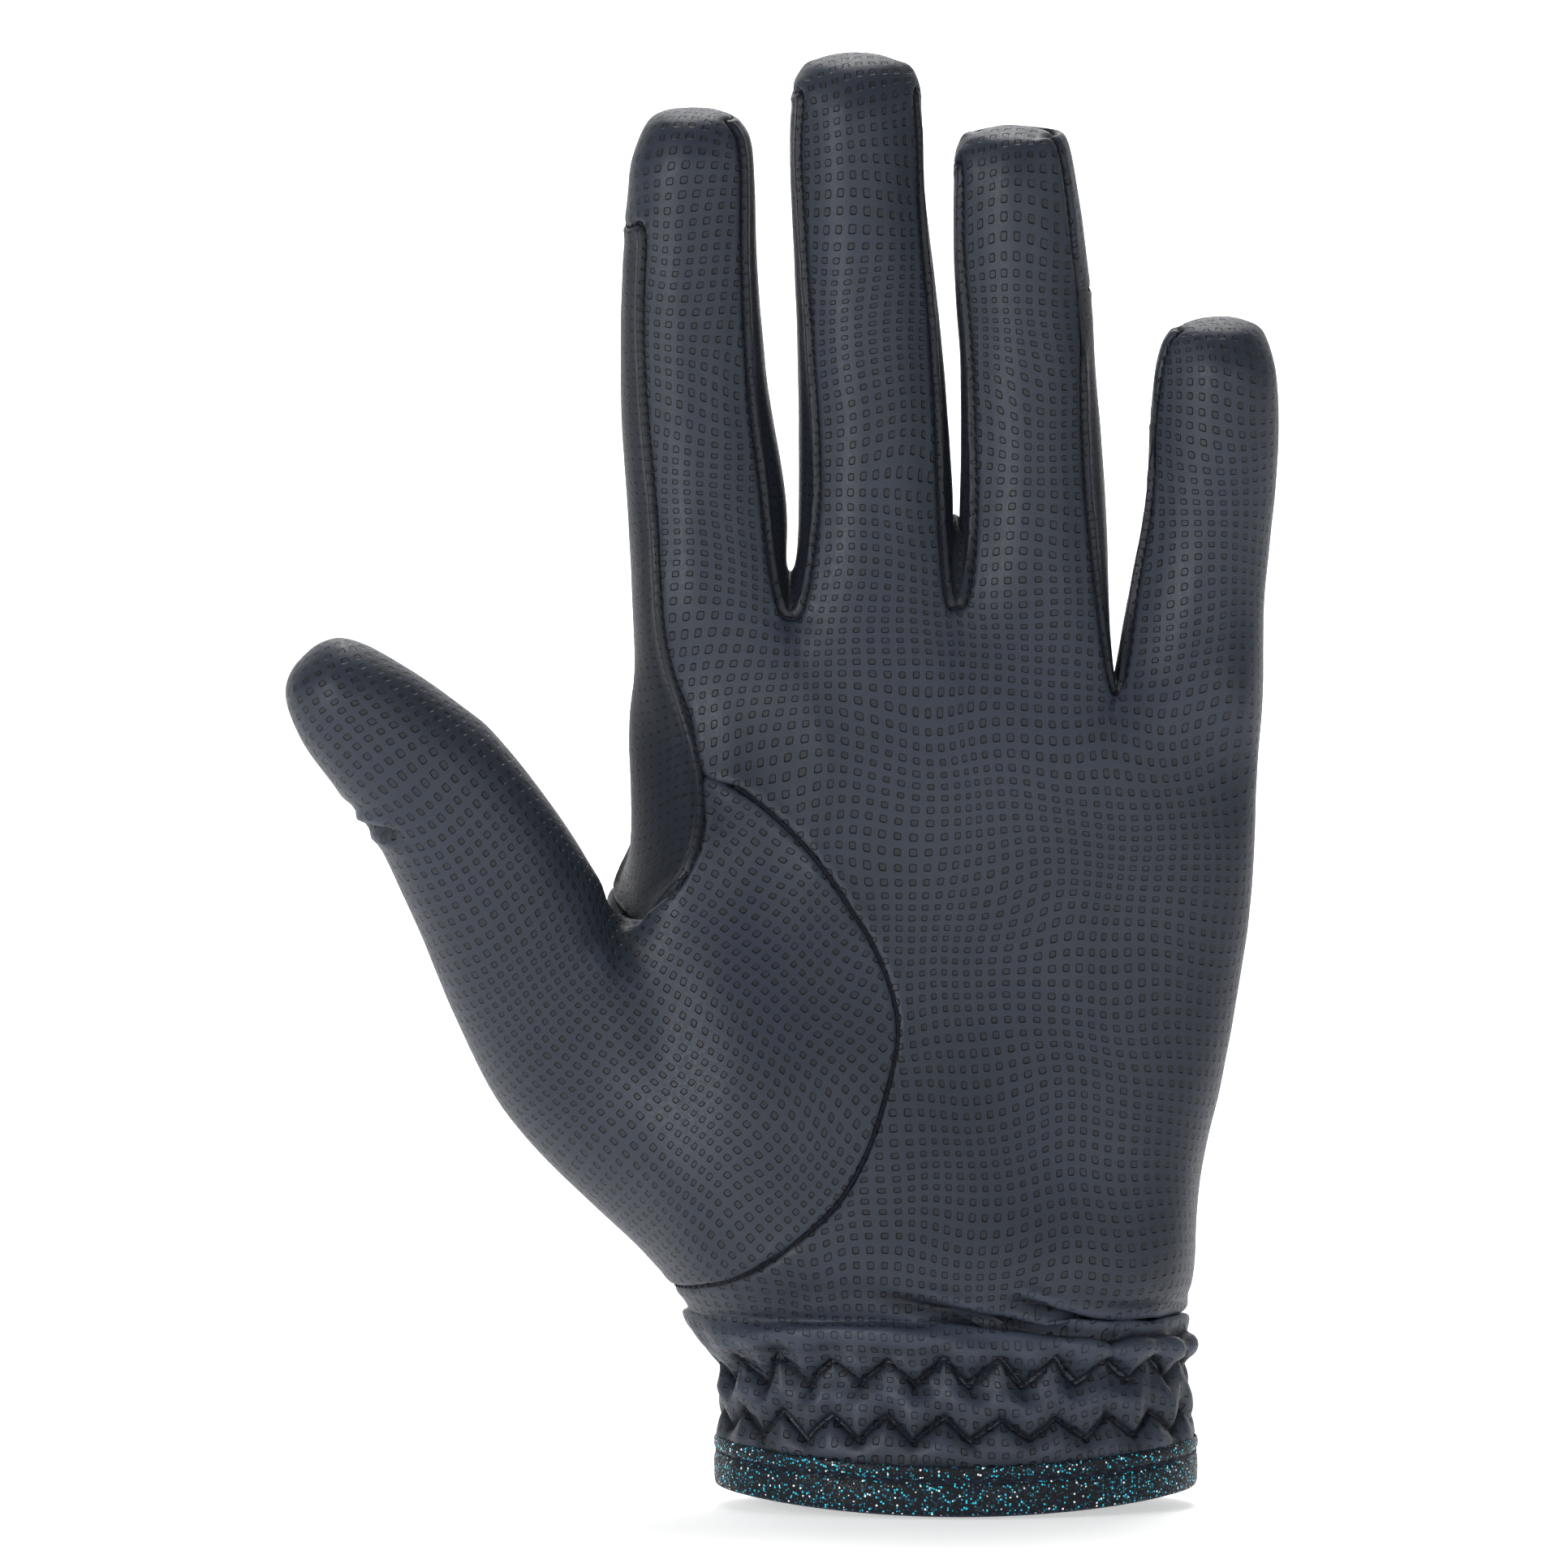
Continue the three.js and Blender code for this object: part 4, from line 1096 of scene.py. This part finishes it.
final_tree = join_outsides()
tape_tree = BVHTree.FromObject(tape, bpy.context.evaluated_depsgraph_get())
tape_line = [
    at_wrist(tape_tree, turn, HEM_HEIGHT + GROOVE_HEIGHT * MM - HEM_DIP * max(cos(turn), 0) ** 2)
    for turn in turns[::4]
]
threads = [
    tube("seam_backing", seams, radius=0.34 * MM, sink=0.62 * MM),
    sew("seam_stitches", seams, step=1.5 * MM, length=1.2 * MM, width=0.36 * MM, sink=0.24 * MM, lean=0.35),
]
for name, run in zip(("zigzag_upper", "zigzag_lower"), zigzag_runs(final_tree)):
    threads.append(sew(name, [run], step=1.15 * MM, length=1.3 * MM, width=THREAD_WIDTH, sink=0.0))
threads.append(
    sew("tape_stitches", [tape_line], step=2.4 * MM, length=2.2 * MM, width=0.4 * MM, sink=0.02 * MM)
)
thread_stuff = plain_cloth("navy thread", (0.003, 0.0045, 0.012, 1), roughness=0.75, grain=5000)
for piece in threads:
    piece.data.materials.append(thread_stuff)
    print(f"{piece.name}: {sum(p.loop_total - 2 for p in piece.data.polygons)} triangles")

# %% [markdown]
# ## What belongs to what
#
# The glove has one body, so every piece rides on it. Each leather piece stands for its CAD node, and so
# does the tape.

# %% Tie the pieces to the model
for name, node, *_ in PANELS:
    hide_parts(node)
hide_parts("hem_binding")
for piece in [*pieces.values(), tape, *threads]:
    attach(piece, "root")
print(len(pieces) + 1 + len(threads), "pieces ride on the root")

# %% [markdown]
# ## Studio
#
# A catalogue picture: a white sweep of paper under and behind the glove, which glows a little and has a
# light of its own, and large soft lights in front. The key light stands to the left and a weaker one to the
# right. A small narrow light lifts the cuff. The Standard view keeps white paper white, where the usual one
# greys it.

# %% Floor and lights
floor_height = cad_bounds[0].z - 0.3 * MM
PAPER_FRONT, PAPER_BACK, PAPER_BEND, PAPER_TOP, PAPER_HALF_WIDTH = -4, 1.2, 0.6, 4, 4
sweep = bmesh.new()
bend = [(PAPER_BACK + PAPER_BEND * sin(a), PAPER_BEND * (1 - cos(a))) for a in np.linspace(0, pi / 2, 25)]
profile = [(PAPER_FRONT, 0), *bend, (PAPER_BACK + PAPER_BEND, PAPER_TOP)]
corners = [sweep.verts.new((-PAPER_HALF_WIDTH, y, floor_height + z)) for y, z in profile]
edges = [sweep.edges.new(pair) for pair in zip(corners, corners[1:])]
moved = bmesh.ops.extrude_edge_only(sweep, edges=edges)["geom"]
far_side = [part for part in moved if isinstance(part, bmesh.types.BMVert)]
bmesh.ops.translate(sweep, verts=far_side, vec=(2 * PAPER_HALF_WIDTH, 0, 0))
for face in sweep.faces:
    face.smooth = True
data = bpy.data.meshes.new("paper_sweep")
sweep.to_mesh(data)
sweep.free()
paper = make_object("paper_sweep", data)
material, tree, shader = new_material("white paper")
shader.inputs["Base Color"].default_value = (0.93, 0.93, 0.93, 1)
shader.inputs["Roughness"].default_value = 0.9
shader.inputs["Emission Color"].default_value = (1, 1, 1, 1)
shader.inputs["Emission Strength"].default_value = 0.5
paper.data.materials.append(material)
bpy.context.scene.view_settings.view_transform = "Standard"


def soft_light(name, place, aim, size, power, spread=180):
    """A round soft light of that size and power in watts, with a beam of spread degrees."""
    light = bpy.data.lights.new(name, "AREA")
    light.shape = "DISK"
    light.size = size
    light.energy = power
    light.spread = radians(spread)
    lamp = bpy.data.objects.new(name, light)
    lamp.location = place
    lamp.rotation_euler = (Vector(aim) - Vector(place)).to_track_quat("-Z", "Y").to_euler()
    bpy.context.scene.collection.objects.link(lamp)


soft_light("key", place=(-1.0, -1.3, 0.35), aim=(0, 0, 0.05), size=0.8, power=19)
soft_light("fill", place=(1.1, -1.3, 0.3), aim=(0, 0, 0.05), size=1.0, power=5)
soft_light("cuff_light", place=(0.35, -1.2, 0.12), aim=(-0.01, 0, 0.025), size=0.3, power=0.07, spread=30)
soft_light("paper_wash", place=(0.0, 0.9, 2.2), aim=(0, 1.5, 0.2), size=1.4, power=50)
world = bpy.data.worlds.new("studio")
world.use_nodes = True
world.node_tree.nodes["Background"].inputs["Color"].default_value = (0.95, 0.97, 1.0, 1)
world.node_tree.nodes["Background"].inputs["Strength"].default_value = 0.12
bpy.context.scene.world = world

# %% Write the sizes and finish
print("CAD box", [[round(v / MM, 1) for v in c] for c in cad_bounds])
